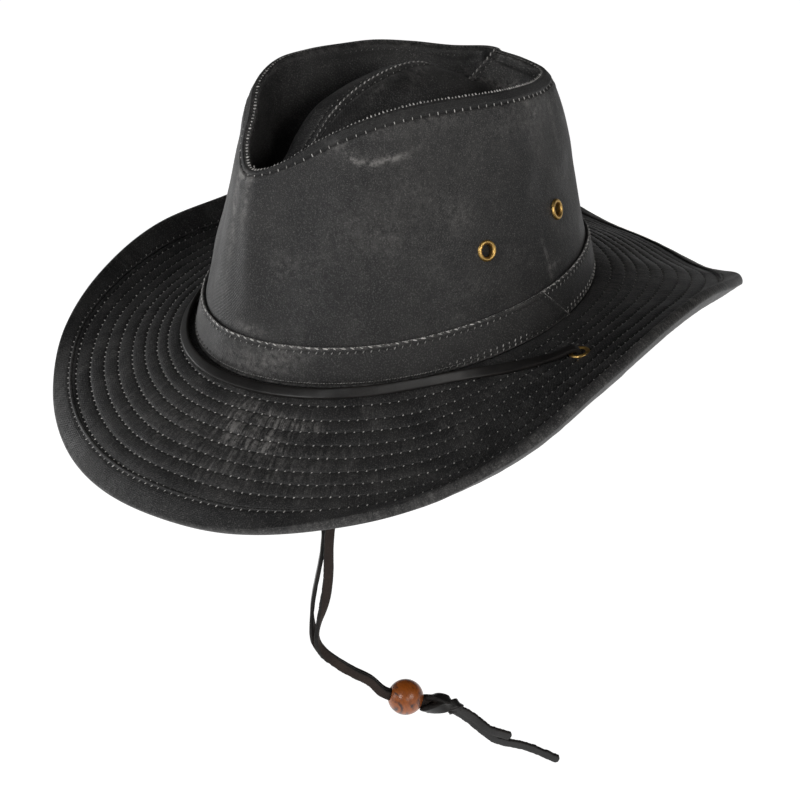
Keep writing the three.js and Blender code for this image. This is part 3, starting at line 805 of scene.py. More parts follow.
def node(tree, kind, inputs=None, **settings):
    """Adds a node with its settings, and sets or links its inputs."""
    made = tree.nodes.new(kind)
    for name, value in settings.items():
        setattr(made, name, value)
    for key, value in (inputs or {}).items():
        socket = pick(made.inputs, key)
        if isinstance(value, bpy.types.NodeSocket):
            tree.links.new(value, socket)
        else:
            socket.default_value = value
    return made


def new_material(name):
    """An empty material with its principled surface: the material, its tree and its surface."""
    material = bpy.data.materials.new(name)
    material.use_nodes = True
    tree = material.node_tree
    tree.nodes.clear()
    surface = node(tree, "ShaderNodeBsdfPrincipled")
    node(tree, "ShaderNodeOutputMaterial", {"Surface": surface.outputs["BSDF"]})
    return material, tree, surface


def connect(tree, surface, **sockets):
    """Links outputs to the surface's inputs, which are named with underscores."""
    for name, value in sockets.items():
        tree.links.new(value, surface.inputs[name.replace("_", " ")])


def set_surface(surface, **values):
    """Sets the surface's unlinked inputs."""
    for name, value in values.items():
        surface.inputs[name.replace("_", " ")].default_value = value


def object_place(tree):
    """The place on the object, in metres."""
    return node(tree, "ShaderNodeTexCoord").outputs["Object"]


def carried(tree, name):
    """A value that the mesh carries."""
    return node(tree, "ShaderNodeAttribute", attribute_name=name).outputs["Fac"]


def arithmetic(tree, operation, first, second, clamp=False):
    """A calculation on two values."""
    inputs = {0: first, 1: second}
    return node(tree, "ShaderNodeMath", inputs, operation=operation, use_clamp=clamp).outputs[0]


def speckle(tree, place, scale, detail, roughness=0.5, distortion=0.0):
    """Noise at a place. The scale is in hills for each unit of the place."""
    inputs = {"Vector": place, "Scale": scale, "Detail": detail}
    inputs.update(Roughness=roughness, Distortion=distortion)
    return node(tree, "ShaderNodeTexNoise", inputs).outputs["Fac"]


def stretch(tree, value, low, high, to_low=0.0, to_high=1.0, **settings):
    """A value's range from low to high, laid over another range."""
    inputs = {"Value": value, "From Min": low, "From Max": high, "To Min": to_low, "To Max": to_high}
    return node(tree, "ShaderNodeMapRange", inputs, **settings).outputs[0]


def blend(tree, share, first, second):
    """Two colours, mixed by a share."""
    return node(tree, "ShaderNodeMix", {0: share, 6: first, 7: second}, data_type="RGBA").outputs[2]


def raised(tree, height, distance, strength, under=None):
    """The way that the surface faces once a height is laid on it, or on the relief under it."""
    inputs = {"Height": height, "Distance": distance, "Strength": strength}
    if under:
        inputs["Normal"] = under
    return node(tree, "ShaderNodeBump", inputs).outputs[0]


def waxed_cotton(name, colours, pucker=0.0):
    """Waxed cotton drill: a tight black twill filled with wax.

    It reflects softly, shows its threads as a fine grain, and rubs pale along folds and seams.
    The threads are drawn about twice as coarse as real ones, so that they show in the picture.
    """
    material, tree, surface = new_material(name)
    uv = node(tree, "ShaderNodeUVMap", uv_map="cloth").outputs["UV"]
    place = object_place(tree)
    thread_mm = 0.9
    bands = math.tau / 20 / thread_mm
    threads = [
        node(
            tree,
            "ShaderNodeTexWave",
            {"Vector": uv, "Scale": bands, "Distortion": 1.4, "Detail": 1.0, "Detail Scale": 2.0},
            bands_direction=way,
        ).outputs["Fac"]
        for way in ("X", "Y", "DIAGONAL")
    ]
    weave = arithmetic(tree, "ADD", arithmetic(tree, "MULTIPLY", threads[0], threads[1]), threads[2])
    grain = speckle(tree, place, 1600.0, 2.0, 0.7)
    cloudy = speckle(tree, place, 42.0, 5.0, 0.62)
    blotch = speckle(tree, place, 330.0, 5.0, 0.75)
    rubbed = stretch(tree, blotch, 0.4, 0.62, 0.05, 1.5)
    fine = raised(tree, weave, 0.00008, 0.7)
    grainy = raised(tree, blotch, 0.0004, 0.4, fine)
    normal = raised(tree, cloudy, 0.0022, 0.4, grainy)
    if pucker:
        along_seams = node(tree, "ShaderNodeMapping", {"Vector": uv, "Scale": (0.5, 0.05, 1.0)}).outputs[0]
        gathers = speckle(tree, along_seams, 1.0, 3.0, 0.6)
        rubbed = arithmetic(tree, "MULTIPLY", rubbed, stretch(tree, gathers, 0.4, 0.62, 0.0, 1.4))
        normal = raised(tree, gathers, pucker, 0.8, normal)
    worn = arithmetic(tree, "MULTIPLY", carried(tree, "wear"), rubbed, clamp=True)
    haze = stretch(tree, cloudy, 0.42, 0.75, 0.0, 0.13)
    fleck = stretch(tree, grain, 0.52, 0.8, 0.0, 0.62)
    pale = arithmetic(tree, "ADD", arithmetic(tree, "ADD", haze, fleck), worn, clamp=True)
    colour = blend(tree, pale, colours.cloth, colours.worn)
    # Painted shade: the groove values blend the cloth towards near black
    shaded = blend(tree, carried(tree, "groove"), colour, (0.003, 0.003, 0.003, 1))
    rough = stretch(tree, cloudy, 0.3, 0.7, 0.5, 0.66)
    connect(tree, surface, Base_Color=shaded, Roughness=rough, Normal=normal)
    set_surface(surface, Specular_IOR_Level=0.42, Sheen_Weight=0.04, Sheen_Roughness=0.5)
    return material


def worn_thread(colours):
    """Cotton thread: matt twisted yarn whose dye is rubbed off, by a tone that each stitch carries."""
    material, tree, surface = new_material("Worn cotton thread")
    twist = speckle(tree, object_place(tree), 2400.0, 1.0)
    colour = blend(tree, carried(tree, "tone"), colours.thread_dark, colours.thread)
    connect(tree, surface, Base_Color=colour, Normal=raised(tree, twist, 0.0001, 0.6))
    set_surface(surface, Roughness=0.8, Specular_IOR_Level=0.2)
    return material


def lace_leather(name, colour, pale, roughness, grain_mm, depth_mm, gloss):
    """Cowhide cut into a lace: a dyed smooth side that shines, or a napped flesh side with pale fibres."""
    material, tree, surface = new_material(name)
    place = object_place(tree)
    grain = speckle(tree, place, 1 / (grain_mm * MM), 4.0, 0.65)
    cloudy = speckle(tree, place, 90.0, 3.0)
    amount = stretch(tree, arithmetic(tree, "MULTIPLY", grain, cloudy), 0.16, 0.42)
    relief = raised(tree, grain, depth_mm * MM, 0.7)
    connect(tree, surface, Base_Color=blend(tree, amount, colour, pale), Normal=relief)
    set_surface(surface, Roughness=roughness, Specular_IOR_Level=gloss)
    return material


def polished_brass(colours):
    """Spun brass: warm, bright and a little brushed round the flange."""
    material, tree, surface = new_material("Polished brass")
    tarnish = speckle(tree, object_place(tree), 700.0, 3.0)
    dull = tuple(c * 0.75 for c in colours.brass[:3]) + (1.0,)
    colour = blend(tree, tarnish, colours.brass, dull)
    connect(tree, surface, Base_Color=colour, Roughness=stretch(tree, tarnish, 0.0, 1.0, 0.36, 0.46))
    set_surface(surface, Metallic=1.0)
    return material


def varnished_wood(colours):
    """A turned and varnished wooden bead: swirled dark figure under a clear gloss."""
    material, tree, surface = new_material("Varnished rosewood")
    along_grain = {"Vector": object_place(tree), "Rotation": (0.5, 0.9, 0.3), "Scale": (70.0, 260.0, 110.0)}
    turned = node(tree, "ShaderNodeMapping", along_grain).outputs[0]
    rings = stretch(tree, speckle(tree, turned, 1.0, 3.0, distortion=1.6), 0.47, 0.66)
    lines = stretch(tree, speckle(tree, turned, 7.0, 2.0), 0.3, 0.7, 0.0, 0.3)
    dark = arithmetic(tree, "ADD", rings, lines, clamp=True)
    connect(tree, surface, Base_Color=blend(tree, dark, colours.bead, colours.bead_figure))
    set_surface(surface, Roughness=0.45, Coat_Weight=0.45, Coat_Roughness=0.16)
    return material


def vector_maths(tree, operation, first, second=None, output=0):
    """A calculation on one or two vectors, and the output that holds its result."""
    inputs = {0: first} if second is None else {0: first, 1: second}
    return node(tree, "ShaderNodeVectorMath", inputs, operation=operation).outputs[output]


def lit_paper(colours, stage):
    """Translucent studio paper: matt, and lit from under it in a long soft pool."""
    material, tree, surface = new_material("Studio paper")
    start, end = (Vector((*point, 0)) for point in stage.pool)
    along = end - start
    from_start = vector_maths(tree, "SUBTRACT", object_place(tree), start)
    share = vector_maths(tree, "DOT_PRODUCT", from_start, along / along.length_squared, "Value")
    held = node(tree, "ShaderNodeClamp", {"Value": share}).outputs[0]
    nearest = node(tree, "ShaderNodeVectorMath", {0: along, "Scale": held}, operation="SCALE").outputs[0]
    away = vector_maths(tree, "SUBTRACT", from_start, nearest)
    distance = vector_maths(tree, "LENGTH", away, output="Value")
    pool_rim = (stage.pool_radius, stage.pool_radius + stage.pool_edge)
    glows = (stage.pool_glow, stage.far_glow)
    glow = stretch(tree, distance, *pool_rim, *glows, interpolation_type="SMOOTHSTEP")
    connect(tree, surface, Emission_Strength=glow)
    set_surface(surface, Base_Color=colours.floor, Roughness=0.9, Emission_Color=(1, 1, 1, 1))
    return material


FINISHES = {}


def finish(key):
    """A material by its key, made when it is first asked for."""
    colours = bpy.context.scene.hat_colours
    # The lace's three sides: name, colour, pale colour, roughness, grain and its depth in mm, and gloss
    sides = {
        "smooth": ("smooth side", colours.leather, linear("#232120"), 0.4, 0.8, 0.05, 0.45),
        "flesh": ("flesh side", linear("#2c2523"), colours.flesh, 0.85, 0.7, 0.2, 0.2),
        "cut": ("cut edge", linear("#131211"), linear("#2a2624"), 0.7, 0.5, 0.15, 0.3),
    }
    makers = {
        "cloth": lambda: waxed_cotton("Waxed cotton drill", colours),
        "quilted": lambda: waxed_cotton("Quilted waxed cotton", colours, pucker=0.0007),
        "bound": lambda: waxed_cotton("Waxed cotton binding", colours, pucker=0.0004),
        "thread": lambda: worn_thread(colours),
        "brass": lambda: polished_brass(colours),
        "wood": lambda: varnished_wood(colours),
    }
    if key not in FINISHES and key in sides:
        side, *values = sides[key]
        FINISHES[key] = lace_leather(f"Lace leather, {side}", *values)
    elif key not in FINISHES:
        FINISHES[key] = makers[key]()
    return FINISHES[key]


class HatOperator:
    """What the hat's operators share: each makes its pieces from the hat's shape."""

    bl_options = {"REGISTER", "UNDO"}

    def execute(self, context):
        self.make(HatShape(context.scene))
        return {"FINISHED"}


class OBJECT_OT_hat_stage(HatOperator, bpy.types.Operator):
    """Set up the camera, the floor and the studio's lights"""

    bl_idname = "object.hat_stage"
    bl_label = "Stage"

    # The photograph's view: where the camera looks from, in degrees, and its turn about that line
    azimuth, elevation, roll = 55.903, 30.113, -4.683
    distance = 1.077
    aim = (-0.00315, -0.0014, -0.06053)
    focal_pixels, frame_pixels = 2133.5, 800
    floor_height = -0.62
    floor_size = 40.0
    light_distance, light_size = 2.1, 0.9
    # Each light's azimuth from the hat's front, elevation, power and colour
    lights = (
        ("Key", 100, 22, 11.5, "#fffdfa"),
        ("Key's fill", 70, 15, 4.4, "#fffdfa"),
        ("Front", 15, 30, 12.5, "#ffffff"),
        ("Front low", 335, 12, 5.2, "#ffffff"),
        ("Low left", 296, -3, 10.5, "#ffffff"),
        ("Top", 0, 88, 0.8, "#ffffff"),
    )
    # The paper glows white where the camera sees it, round a line on the floor, and falls off beyond
    pool = ((-0.2, 0.1), (-1.9, 1.35))
    pool_radius, pool_edge, pool_glow, far_glow = 1.0, 0.9, 1.0, 0.55

    def execute(self, context):
        self.add_camera(context.scene)
        self.add_floor(context.scene)
        self.add_lights(context.scene)
        return {"FINISHED"}

    @staticmethod
    def way_to(azimuth, elevation):
        """The way from the hat to a place in the studio."""
        a, e = math.radians(azimuth), math.radians(elevation)
        return Vector((math.sin(a) * math.cos(e), -math.cos(a) * math.cos(e), math.sin(e)))

    def add_camera(self, scene):
        back = self.way_to(self.azimuth, self.elevation)
        data = bpy.data.cameras.new("Camera")
        data.sensor_width = 36.0
        data.lens = data.sensor_width * self.focal_pixels / self.frame_pixels
        data.clip_start, data.clip_end = 0.01, 50.0
        camera = link(bpy.data.objects.new("Camera", data))
        camera.location = Vector(self.aim) + back * self.distance
        level = (-back).to_track_quat("-Z", "Y")
        camera.rotation_mode = "QUATERNION"
        camera.rotation_quaternion = level @ Euler((0, 0, math.radians(self.roll))).to_quaternion()
        scene.camera = camera

    def add_floor(self, scene):
        half = self.floor_size / 2
        mesh = bpy.data.meshes.new("Floor")
        corners = [(-half, -half), (half, -half), (half, half), (-half, half)]
        mesh.from_pydata([(x, y, self.floor_height) for x, y in corners], [], [(0, 1, 2, 3)])
        mesh.materials.append(lit_paper(scene.hat_colours, self))
        link(bpy.data.objects.new("Floor", mesh))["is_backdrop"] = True

    def add_lights(self, scene):
        world = bpy.data.worlds.new("Studio")
        world.use_nodes = True
        tree = world.node_tree
        tree.nodes.clear()
        look = node(tree, "ShaderNodeTexCoord").outputs["Generated"]
        height = node(tree, "ShaderNodeSeparateXYZ", {0: look}).outputs["Z"]
        walls = stretch(tree, height, 0.1, 0.3, 0.15, 0.01, interpolation_type="SMOOTHSTEP")
        sky = node(tree, "ShaderNodeBackground", {"Color": linear("#ffffff"), "Strength": walls})
        node(tree, "ShaderNodeOutputWorld", {"Surface": sky.outputs["Background"]})
        scene.world = world
        scene.view_settings.view_transform = "Standard"
        for name, azimuth, elevation, power, colour in self.lights:
            way = self.way_to(azimuth, elevation)
            data = bpy.data.lights.new(name, "AREA")
            data.shape = "DISK"
            data.size = self.light_size
            data.energy = power
            data.color = linear(colour)[:3]
            light = link(bpy.data.objects.new(name, data))
            light.location = way * self.light_distance
            light.rotation_euler = way.to_track_quat("Z", "Y").to_euler()


class OBJECT_OT_hat_crown(HatOperator, bpy.types.Operator):
    """Sew the crown's side, with its welted rim and soft folds"""

    bl_idname = "object.hat_crown"
    bl_label = "Crown side"

    rim_zone = 11.0  # the finely made strip below the rim
    hole_room = 0.35  # between an eyelet's bore and the cloth round it
    count = 480  # stations round the crown

    def make(self, hat):
        angle = stations(self.count)
        top = hat.crown_top(angle)
        # Shares of the height: down the outside from the rim, up the inside, and over the rounded lip
        near = np.linspace(0.45, self.rim_zone, 30)[None] / top
        main_start = self.rim_zone / top
        foot = (hat.band_height - 4) / top
        main = np.linspace(0, 1, 46)[None, 1:]
        main = 1 - (main_start + (1 - foot - main_start) * main)
        low = -(hat.crown_tuck + hat.brim_thickness / 2) / top
        lower = foot + (low - foot) * np.linspace(0, 1, 6)[None, 1:]
        outer = np.concatenate([1 - near, main, lower], 1)
        turn = np.radians((155, 120, 90, 60, 25))[None]
        lip = 1 - 0.45 * (1 - np.sin(turn)) / top
        inner = np.concatenate([low + (1 - low) * np.linspace(0, 0.9, 60)[None], 1 - near[:, ::-6]], 1)
        share = np.concatenate([outer, inner, lip], 1)
        relief, groove, wear = self.relief(hat, angle, share)
        half = hat.cloth / 2
        offset = np.concatenate(
            [
                relief[:, : outer.shape[1]],
                np.full_like(inner, -hat.cloth),
                relief[:, -lip.shape[1] :] * np.sin(turn / 2) - half + half * np.cos(turn),
            ],
            1,
        )
        points = hat.crown_at(angle, share, offset)
        shell = outer.shape[1]
        groove[:, shell : shell + inner.shape[1]] = 0
        piece = grid_piece(
            "crown_cloth", points, [finish("cloth")], layers={"wear": wear, "groove": groove}
        )
        pierce(piece, hat.crown_eyelets(), hat.eyelet_bore / 2 + self.hole_room, hat.cloth)
        wear_on(piece, "waxed_cloth", "crown_side")

    def relief(self, hat, angle, share):
        """How far the cloth stands out, the painted shade on its stitch line and welt, and how worn it is.
        """
        below = (1 - share) * hat.crown_top(angle) / hat.welt_share(angle)
        flat = hat.crown_face(angle, share)
        welt = step_up(below, 0, 0.9) * (1 - step_up(below, hat.welt - 1.1, hat.welt))
        arc = np.radians(angle) * 72
        pull = 0.5 + 0.5 * np.cos(math.tau * arc / 4.5)
        sewn = bump(below - hat.welt, 0.55)
        folds = patches(flat, hat.crown_face, CROWN_FOLDS)
        soft = 0.8 * ripple(flat, 34, 1) + 0.3 * ripple(flat, 13, 2)
        away_from_rim = step_up(below, 0, 9)
        out = 0.5 * welt - (0.35 + 0.15 * pull) * sewn
        out = out + 0.3 * bump(below - hat.welt - 2.4, 1.5) * (1 - 0.4 * pull)
        out = out + (folds + soft) * away_from_rim * step_up(share, 0.12, 0.3)
        edge = bump(below, 1.0)
        wear = 0.22 * edge + 0.16 * bump(below - hat.welt - 1.4, 0.8)
        wear = wear * (0.6 + 0.4 * ripple(flat, 9, 5))
        wear = wear + patches(flat, hat.crown_face, CROWN_WEAR)
        wear = wear + 0.1 * step_up(ripple(flat, 20, 6), 0.1, 0.5)
        # The groove values paint shade along the stitch line below the welt, and darken the welt as well
        return out, 0.8 * sewn + 0.55 * welt, np.clip(wear, 0, 1)


class OBJECT_OT_hat_tips(HatOperator, bpy.types.Operator):
    """Sew both halves of the dented top, with the raised seam between them"""

    bl_idname = "object.hat_tips"
    bl_label = "Dented top"

    count = 261  # stations along the seam
    across = 84  # points from the seam to the rim

    def make(self, hat):
        angle = stations(self.count, 0, 180, closed=False)
        out = np.linspace(0, 1, self.across)[None]
        flat = hat.tip_face(angle, out)
        from_seam = np.linalg.norm(flat - flat[:, :1], axis=-1)
        from_rim = np.linalg.norm(flat - flat[:, -1:], axis=-1)
        inside = np.clip(out, NUDGE, 1 - NUDGE) + 0 * angle
        way = upward(normal_of(hat.tip_face, np.clip(angle, 1.5, 178.5) + 0 * out, inside))
        ends = step_up(np.sin(np.radians(angle)), 0.0, 0.12)
        flap = 1 - step_up(from_seam, 2.9, 3.8)
        sewn = bump(from_seam - 3.3, 0.5) + bump(from_rim - 5, 0.55)
        for side, name in ((1, "left"), (-1, "right")):
            folds = patches(flat, hat.tip_face, TIP_FOLDS)
            soft = 0.7 * ripple(flat * (side, 1, 1), 22, 3 + side)
            away = step_up(from_rim, 1, 7) * step_up(from_seam, 3, 9)
            relief = 0.75 * flap - 0.3 * sewn + (folds + soft) * away
            relief = relief + 0.35 * step_up(from_rim, 0, 1) * (1 - step_up(from_rim, 4, 5))
            upper = flat + way * (relief * ends)[..., None]
            upper[:, 0, 0] = 0
            under = flat - way * hat.cloth
            under[:, 0, 0] = 0
            under[:, -1] = flat[:, -1] - (0, 0, hat.cloth)
            under[0], under[-1] = flat[0] - (0, 0, hat.cloth), flat[-1] - (0, 0, hat.cloth)
            points = np.concatenate([upper, under[:, ::-4]], 1)
            points[..., 0] = np.maximum(points[..., 0], 0) * side
            wear = 0.6 * bump(from_seam, 0.8) + 0.5 * bump(from_rim, 1) + 0.3 * bump(from_seam - 4.4, 0.8)
            wear = wear * (0.55 + 0.45 * ripple(flat * (side, 1, 1), 8, 7))
            wear = np.clip(wear + patches(flat, hat.tip_face, TIP_WEAR), 0, 1)
            rest = np.zeros((self.count, points.shape[1] - self.across))
            # The groove values paint shade along the seam's and the rim's stitch lines
            piece = grid_piece(
                f"tip_cloth_{name}",
                points,
                [finish("cloth")],
                closed=False,
                layers={
                    "wear": np.concatenate([wear, rest], 1),
                    "groove": np.concatenate([0.7 * sewn, rest], 1),
                },
                caps=True,
            )
            wear_on(piece, "waxed_cloth", f"tip_{name}")


class OBJECT_OT_hat_band(HatOperator, bpy.types.Operator):
    """Sew the band round the crown's foot, with its worn top edge and slanted joint"""

    bl_idname = "object.hat_band"
    bl_label = "Hat band"

    count = 480  # stations round the band
    joint_slant = 0.55  # how far the joint leans, in degrees of angle for each millimetre down

    def make(self, hat):
        angle = stations(self.count)
        low, high = hat.brim_thickness / 2 + hat.gap, hat.band_height
        height = np.linspace(low, high, 34)[None] + 0 * angle
        share = hat.crown_share(angle, height)
        flat = hat.crown_face(angle, share)
        from_top, from_foot = high - height, height - low
        joint = hat.band_joint_angle + (high / 2 - height) * self.joint_slant
        past = np.mod(angle - joint + 180, 360) - 180
        overlap = 0.5 * (1 - step_up(past, -0.25, 0.25)) * step_up(past, -30, -8)
        sewn = bump(from_top - 2.3, 0.45) + bump(from_foot - 1.1, 0.4)
        swell = np.sin(math.pi * np.clip((height - low) / (high - low), 0, 1)) ** 0.6
        out = 0.45 * swell - 0.25 * sewn + 0.35 * ripple(flat, 16, 11) * swell + overlap
        out = out + 0.12 * ripple(flat * (1, 1, 0.2), 3.2, 12) * bump(from_top - 1, 3)
        outer = hat.crown_at(angle, share, hat.band_seat + hat.cloth * 0.75 + out)
        inner = hat.crown_at(angle, share, np.full_like(height, hat.band_seat * 0.5))[:, ::-11]
        points = np.concatenate([outer, inner], 1)
        edge = bump(from_top, 0.8)
        front = 0.55 + 0.45 * np.cos(np.radians(angle + 10))
        wear = edge * (0.2 + 0.5 * front) * (0.6 + 0.7 * ripple(flat, 5, 13))
        wear = wear + 0.28 * bump(from_foot - 0.4, 0.6) + 0.5 * bump(past, 0.18) * (np.abs(past) < 3)
        wear = wear + patches(flat, hat.crown_face, BAND_WEAR)
        rest = np.zeros((self.count, inner.shape[1]))
        # The groove values paint shade along the stitch rows and in a thin line just past the joint's
        # overlapping edge
        layers = {
            "wear": np.concatenate([np.clip(wear, 0, 1), rest], 1),
            "groove": np.concatenate([0.6 * sewn + 0.8 * bump(past - 0.5, 0.25), rest], 1),
        }
        piece = grid_piece("band_cloth", points, [finish("cloth")], layers=layers)
        wear_on(piece, "waxed_cloth", "hat_band")


def quilting_levels(fine):
    """Even shares across the brim, gathered at each row of stitches."""
    near = (-0.016, -0.007, -0.0025, 0, 0.0025, 0.007, 0.016) if fine else (-0.012, 0, 0.012)
    levels, before = [0.0], 0.0
    for row in QUILT_ROWS:
        after = row + near[0]
        steps = 4 if fine else 2
        levels += [before + (after - before) * (k + 1) / steps for k in range(steps - 1)]
        levels += [row + d for d in near]
        before = row + near[-1]
    return np.array(levels)


def bent(angle, row):
    """The share across the brim of a row at an angle, for the rows aren't quite even."""
    turn = np.radians(angle)
    return row + ROW_BEND * np.sin(math.pi * row) * np.sin(turn) * np.maximum(np.cos(turn), 0) ** 0.5


def quilt_relief(hat, angle, row, way):
    """How far the quilting stands out on the upper (1) or lower (-1) side, and the shape of its grooves,
    which also sets their painted shade.
    """
    share = bent(angle, row)
    width = hat.brim_width(angle)
    flat = hat.brim_face(angle, share)
    rows = np.array([-0.02, *QUILT_ROWS, 0.93])
    k = np.clip(np.searchsorted(rows, row) - 1, 0, len(rows) - 2)
    across = np.clip((row - rows[k]) / (rows[k + 1] - rows[k]), 0, 1)
    nearest = np.abs(row[..., None] - np.array(QUILT_ROWS)).min(-1) * width
    groove = bump(nearest, 0.45)
    swell = hat.puff * np.abs(np.sin(math.pi * across)) ** 0.75
    swell = swell * (1 + 0.35 * ripple(flat, 9, 23 * way))
    wave = 0.4 * ripple(flat * (1, 1, 0.3), 17, 21 * way) * step_up(row, 0.03, 0.2)
    along = np.stack(np.broadcast_arrays(arc_of(hat, angle), row * width * 0.28, 0.0), -1)
    gather = 0.09 * ripple(along, 1.9, 22 * way) + 0.12 * ripple(along, 4.5, 24 * way)
    return swell + wave + gather * (0.4 + 0.6 * np.sin(math.pi * across)) - 0.3 * groove, groove


def arc_of(hat, angle):
    """How far an angle is along the middle of the brim, roughly."""
    return np.radians(angle) * (hat.head_length / 2 + hat.brim_reach / 2)


class OBJECT_OT_hat_brim(HatOperator, bpy.types.Operator):
    """Sew the quilted brim"""

    bl_idname = "object.hat_brim"
    bl_label = "Quilted brim"

    count = 640  # stations round the brim

    def make(self, hat):
        angle = stations(self.count)
        width = hat.brim_width(angle)
        start = 1 - hat.binding_width / width
        sides, wears, grooves = [], [], []
        for fine, way in ((True, 1), (False, -1)):
            levels = quilting_levels(fine)[None] + 0 * angle
            ends = [0 * angle + s for s in (0.9, 0.95, 0.995)]
            row = np.concatenate([levels, *ends], 1)
            share = bent(angle, row)
            flat = hat.brim_face(angle, share)
            relief, groove = quilt_relief(hat, angle, row, way)
            free = 1 - step_up(share, start - 0.005, start + 0.03)
            offset = relief * free * step_up(share, 0.0, 0.03) - 0.3 * (1 - free)
            sides.append(hat.brim_at(angle, share, way * (hat.brim_thickness / 2 + offset)))
            wear = patches(flat, hat.brim_face, BRIM_WEAR) if fine else 0 * share
            wear = wear + 0.12 * step_up(ripple(flat, 12, 25), 0, 0.5)
            wears.append(np.clip(wear, 0, 1) * free)
            # Painted shade in the quilting's grooves, towards black
            grooves.append(np.clip(0.85 * groove * free, 0, 1))
        points = np.concatenate([sides[0], sides[1][:, ::-1]], 1)
        layers = {
            "wear": np.concatenate([wears[0], wears[1][:, ::-1]], 1),
            "groove": np.concatenate([grooves[0], grooves[1][:, ::-1]], 1),
        }
        piece = grid_piece("brim_cloth", points, [finish("quilted")], layers=layers)
        wear_on(piece, "waxed_cloth", "brim")


class OBJECT_OT_hat_binding(HatOperator, bpy.types.Operator):
    """Fold the binding over the brim's edge"""

    bl_idname = "object.hat_binding"
    bl_label = "Edge binding"

    count = 640  # stations round the brim
    # The rows across a leaf, in tenths of its width from its inner edge
    leaf_rows = (0, 0.15, 0.6, 1.1, 1.5, 1.9, 2.4, 3.4, 4.8, 6.2, 7.6, 8.8, 9.6)

    def make(self, hat):
        angle = stations(self.count)
        width = hat.brim_width(angle)
        inner = hat.brim_thickness / 2 + hat.gap
        outer = inner + hat.binding_cloth
        leaf = hat.binding_width * (1 - np.array(self.leaf_rows) / 10)
        share = 1 - leaf[None] / width
        flat = hat.brim_face(angle, share)
        from_edge = hat.binding_width - leaf[None] + 0 * angle
        sewn = bump(from_edge - 1.6, 0.5)
        fold = 0.25 * bump(from_edge - 0.5, 0.5)
        round_in = -0.8 * (1 - step_up(from_edge, -0.02, 0.35))
        parts, wears, grooves = [], [], []
        for way in (1, -1):
            rough = 0.16 * ripple(flat, 5, 31 * way) + 0.2 * ripple(flat, 16, 33 * way)
            height = outer - 0.1 + fold - 0.3 * sewn + round_in + rough * step_up(from_edge, 0.4, 2)
            wear = 0.14 * bump(from_edge - 0.5, 0.5) + 0.1 * step_up(ripple(flat, 15, 35 * way), 0, 0.5)
            # Painted shade on the stitch row and along the binding's inner edge
            groove = 0.8 * sewn + 0.7 * (1 - step_up(from_edge, 0, 0.2))
            parts.append(hat.brim_at(angle, share, way * height)[:, ::way])
            wears.append(np.clip(wear, 0, 1)[:, ::way])
            grooves.append(groove[:, ::way])
        edge = hat.brim_face(angle, 1.0)
        outwards = unit(edge - hat.brim_face(angle, 1 - NUDGE))
        up = hat.brim_normal(angle, 1.0)
        turn = np.radians(np.linspace(80, -80, 11))[None, :, None]
        beyond = hat.gap + hat.binding_cloth
        wrap = edge + outwards * np.cos(turn) * beyond + up * np.sin(turn) * (outer - 0.1)
        back_share = 1 - np.array([hat.binding_width, hat.binding_width / 2, 0.0])[None] / width
        under = hat.brim_at(angle, back_share, np.full_like(back_share, -inner))
        over = hat.brim_at(angle, back_share[:, ::-1], np.full_like(back_share, inner))
        points = np.concatenate([parts[0], wrap, parts[1], under, over], 1)
        wrap_wear = 0.3 + 0.25 * ripple(wrap, 10, 37)
        none = np.zeros((self.count, under.shape[1] + over.shape[1]))
        layers = {
            "wear": np.concatenate([wears[0], np.clip(wrap_wear, 0, 1) * 0.5, wears[1], none], 1),
            "groove": np.concatenate([grooves[0], 0 * wrap_wear, grooves[1], none], 1),
        }
        piece = grid_piece("binding_cloth", points, [finish("bound")], layers=layers)
        wear_on(piece, "waxed_cloth", "brim_binding")


def turned_points(profile, place, axis, count):
    """A closed profile of radius and height, turned about an axis through a place."""
    axis = unit(np.asarray(axis, float))
    side = unit(np.cross(axis, (0.3, 0.2, 0.93)))
    other = np.cross(axis, side)
    turn = np.linspace(0, math.tau, count, endpoint=False)[:, None, None]
    radius, height = profile[:, 0][None, :, None], profile[:, 1][None, :, None]
    around = np.cos(turn) * side + np.sin(turn) * other
    return np.asarray(place) + radius * around + height * axis


class OBJECT_OT_hat_eyelets(HatOperator, bpy.types.Operator):
    """Set the six brass eyelets"""

    bl_idname = "object.hat_eyelets"
    bl_label = "Eyelets"

    count = 56  # points round an eyelet

    def make(self, hat):
        for name, place, axis, sheet in [*hat.crown_eyelets(), *hat.brim_eyelets()]:
            points = turned_points(self.profile(hat, sheet), place, axis, self.count)
            piece = grid_piece(f"{name}_brass", points, [finish("brass")])
            wear_on(piece, "brass", name)

    def profile(self, hat, sheet):
        """A rolled flange, the barrel, and the set flange at the back."""
        bore, wide, back = hat.eyelet_bore / 2, hat.eyelet_flange / 2 - 0.2, hat.eyelet_back / 2
        seat, top = sheet / 2 + hat.eyelet_seat - 0.2, hat.flange_top(sheet) + 0.25
        turn = np.radians(np.linspace(-25, 180, 14))
        middle, half = (bore + wide) / 2, (wide - bore) / 2
        rise = top - seat
        rolled = [(middle + half * math.cos(t), seat + rise * max(math.sin(t), -0.3)) for t in turn]
        rest = [(bore, -seat), (bore + 0.3, -top + 0.25), (back - 0.3, -top + 0.3), (back, -seat)]
        rest += [(bore + hat.eyelet_metal, -seat), (bore + hat.eyelet_metal, seat)]
        return np.array(rolled + rest)


